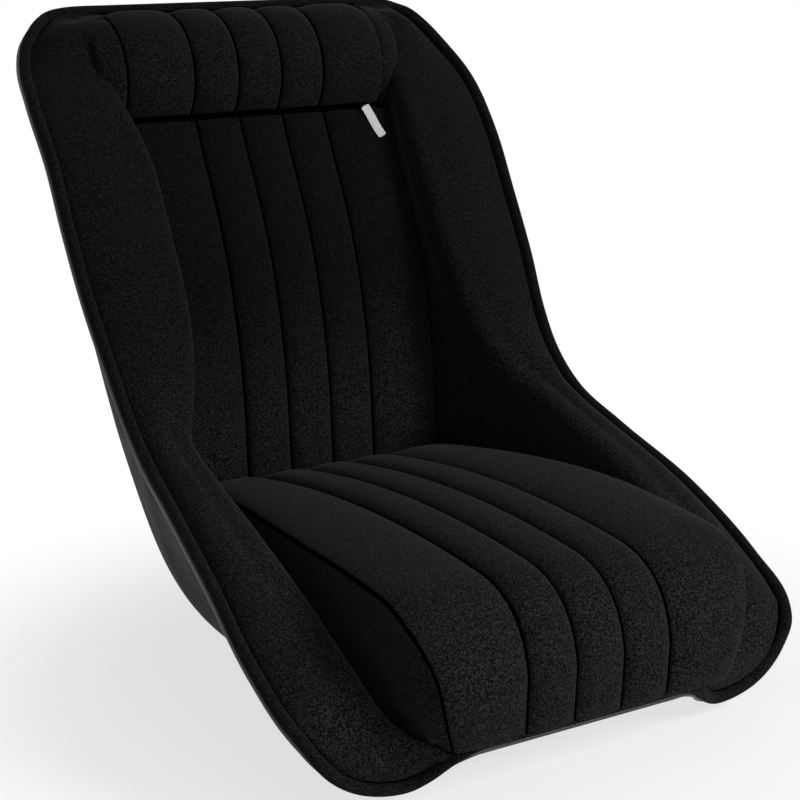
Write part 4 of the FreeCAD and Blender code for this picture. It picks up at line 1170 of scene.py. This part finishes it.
def copy_of(node, name):
    """A loose copy of a CAD node's mesh with its doubles merged."""
    piece = frame["nodes"][node].copy()
    piece.data = piece.data.copy()
    piece.name = name
    piece.parent = None
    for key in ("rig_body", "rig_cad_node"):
        if key in piece:
            del piece[key]
    bpy.context.scene.collection.objects.link(piece)
    activate(piece)
    bpy.ops.object.mode_set(mode="EDIT")
    bpy.ops.mesh.select_all(action="SELECT")
    bpy.ops.mesh.remove_doubles(threshold=0.00002)
    bpy.ops.object.mode_set(mode="OBJECT")
    return piece


def make_base_pad():
    piece = copy_of("base_pad", "base_foam")
    remesh = piece.modifiers.new("Remesh", "REMESH")
    remesh.mode = "VOXEL"
    remesh.voxel_size = 0.003
    soften = piece.modifiers.new("Smooth", "SMOOTH")
    soften.iterations = 4
    activate(piece)
    bpy.ops.object.modifier_apply(modifier=remesh.name)
    bpy.ops.object.modifier_apply(modifier=soften.name)
    piece.data.shade_smooth()
    finish_piece(piece, "seat", FOAM, ("base_pad",))


STRIP_MIDDLE = 0.08
STRIP_WIDE = 0.05


def make_tapes():
    for node, body, name in (("hook_tapes", "seat", "hook_strips"),
                             ("loop_tapes", "seat_cushion", "loop_strips")):
        low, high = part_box(node)
        middle = (low + high) * 0.5
        strips = []
        for side in (-1, 1):
            bpy.ops.object.select_all(action="DESELECT")
            place = (side * STRIP_MIDDLE, middle.y, middle.z)
            bpy.ops.mesh.primitive_cube_add(size=1, location=place)
            strip = bpy.context.active_object
            strip.scale = (STRIP_WIDE, high.y - low.y, high.z - low.z)
            bpy.ops.object.transform_apply(location=True, rotation=True, scale=True)
            bevel = strip.modifiers.new("Bevel", "BEVEL")
            bevel.width = 0.0007
            bevel.segments = 3
            bpy.ops.object.modifier_apply(modifier=bevel.name)
            strips.append(strip)
        activate(strips[0])
        strips[1].select_set(True)
        bpy.ops.object.join()
        strips[0].name = name
        strips[0].data.shade_smooth()
        finish_piece(strips[0], body, HOOKS, (node,))


TAG_LONG = 38
TAG_WIDE = 11
TAG_ACROSS = 121
TAG_SLANT = math.radians(22)


def make_tag():
    """Folded woven tag below the head roll, lying over the outer flute at a slant."""
    origin, ahead = back_frame(back_step(ROLL_SEAM_HEIGHT - 4))
    along = Vector((0, ahead.z, -ahead.y))
    if along.z > 0:
        along = -along
    down = (along * math.cos(TAG_SLANT) + Vector((math.sin(TAG_SLANT), 0, 0))).normalized()
    across = down.cross(ahead).normalized()
    top = Vector((TAG_ACROSS, 0, 0)) + origin + ahead * (PANEL_SEAM + 8.6) + down
    rings = []
    for k in range(20):
        t = k / 19
        lift = 1.2 + 2.2 * t * t + 0.6 * math.sin(6 * t)
        middle = top + down * (TAG_LONG * t) + ahead * lift
        ring = []
        for face, order in ((0.35, range(9)), (-0.35, range(8, -1, -1))):
            for n in order:
                wave = 0.3 * math.cos(n * 0.9 + 4 * t)
                ring.append(middle + across * (TAG_WIDE * (n / 8 - 0.5)) + ahead * (face + wave))
        rings.append(ring)
    piece = ring_piece("blank_tag", rings)
    round_off(piece)
    finish_piece(piece, "seat", TAG, ("tag_label",))


def paint_nodes():
    """Materials of the CAD nodes that stay in view."""
    for node, material in (("grp_shell", GEL_COAT), ("fixing_plate_left", PLATE),
                           ("fixing_plate_right", PLATE), ("fixing_nuts", ZINC)):
        target = frame["nodes"][node]
        target.data.materials.clear()
        target.data.materials.append(material)


set_stage()
rim = rim_path(6.0)
make_edges(rim)
make_wings(rim)
make_back_panel()
make_head_roll()
make_cushion()
make_base_pad()
make_tapes()
make_tag()
paint_nodes()
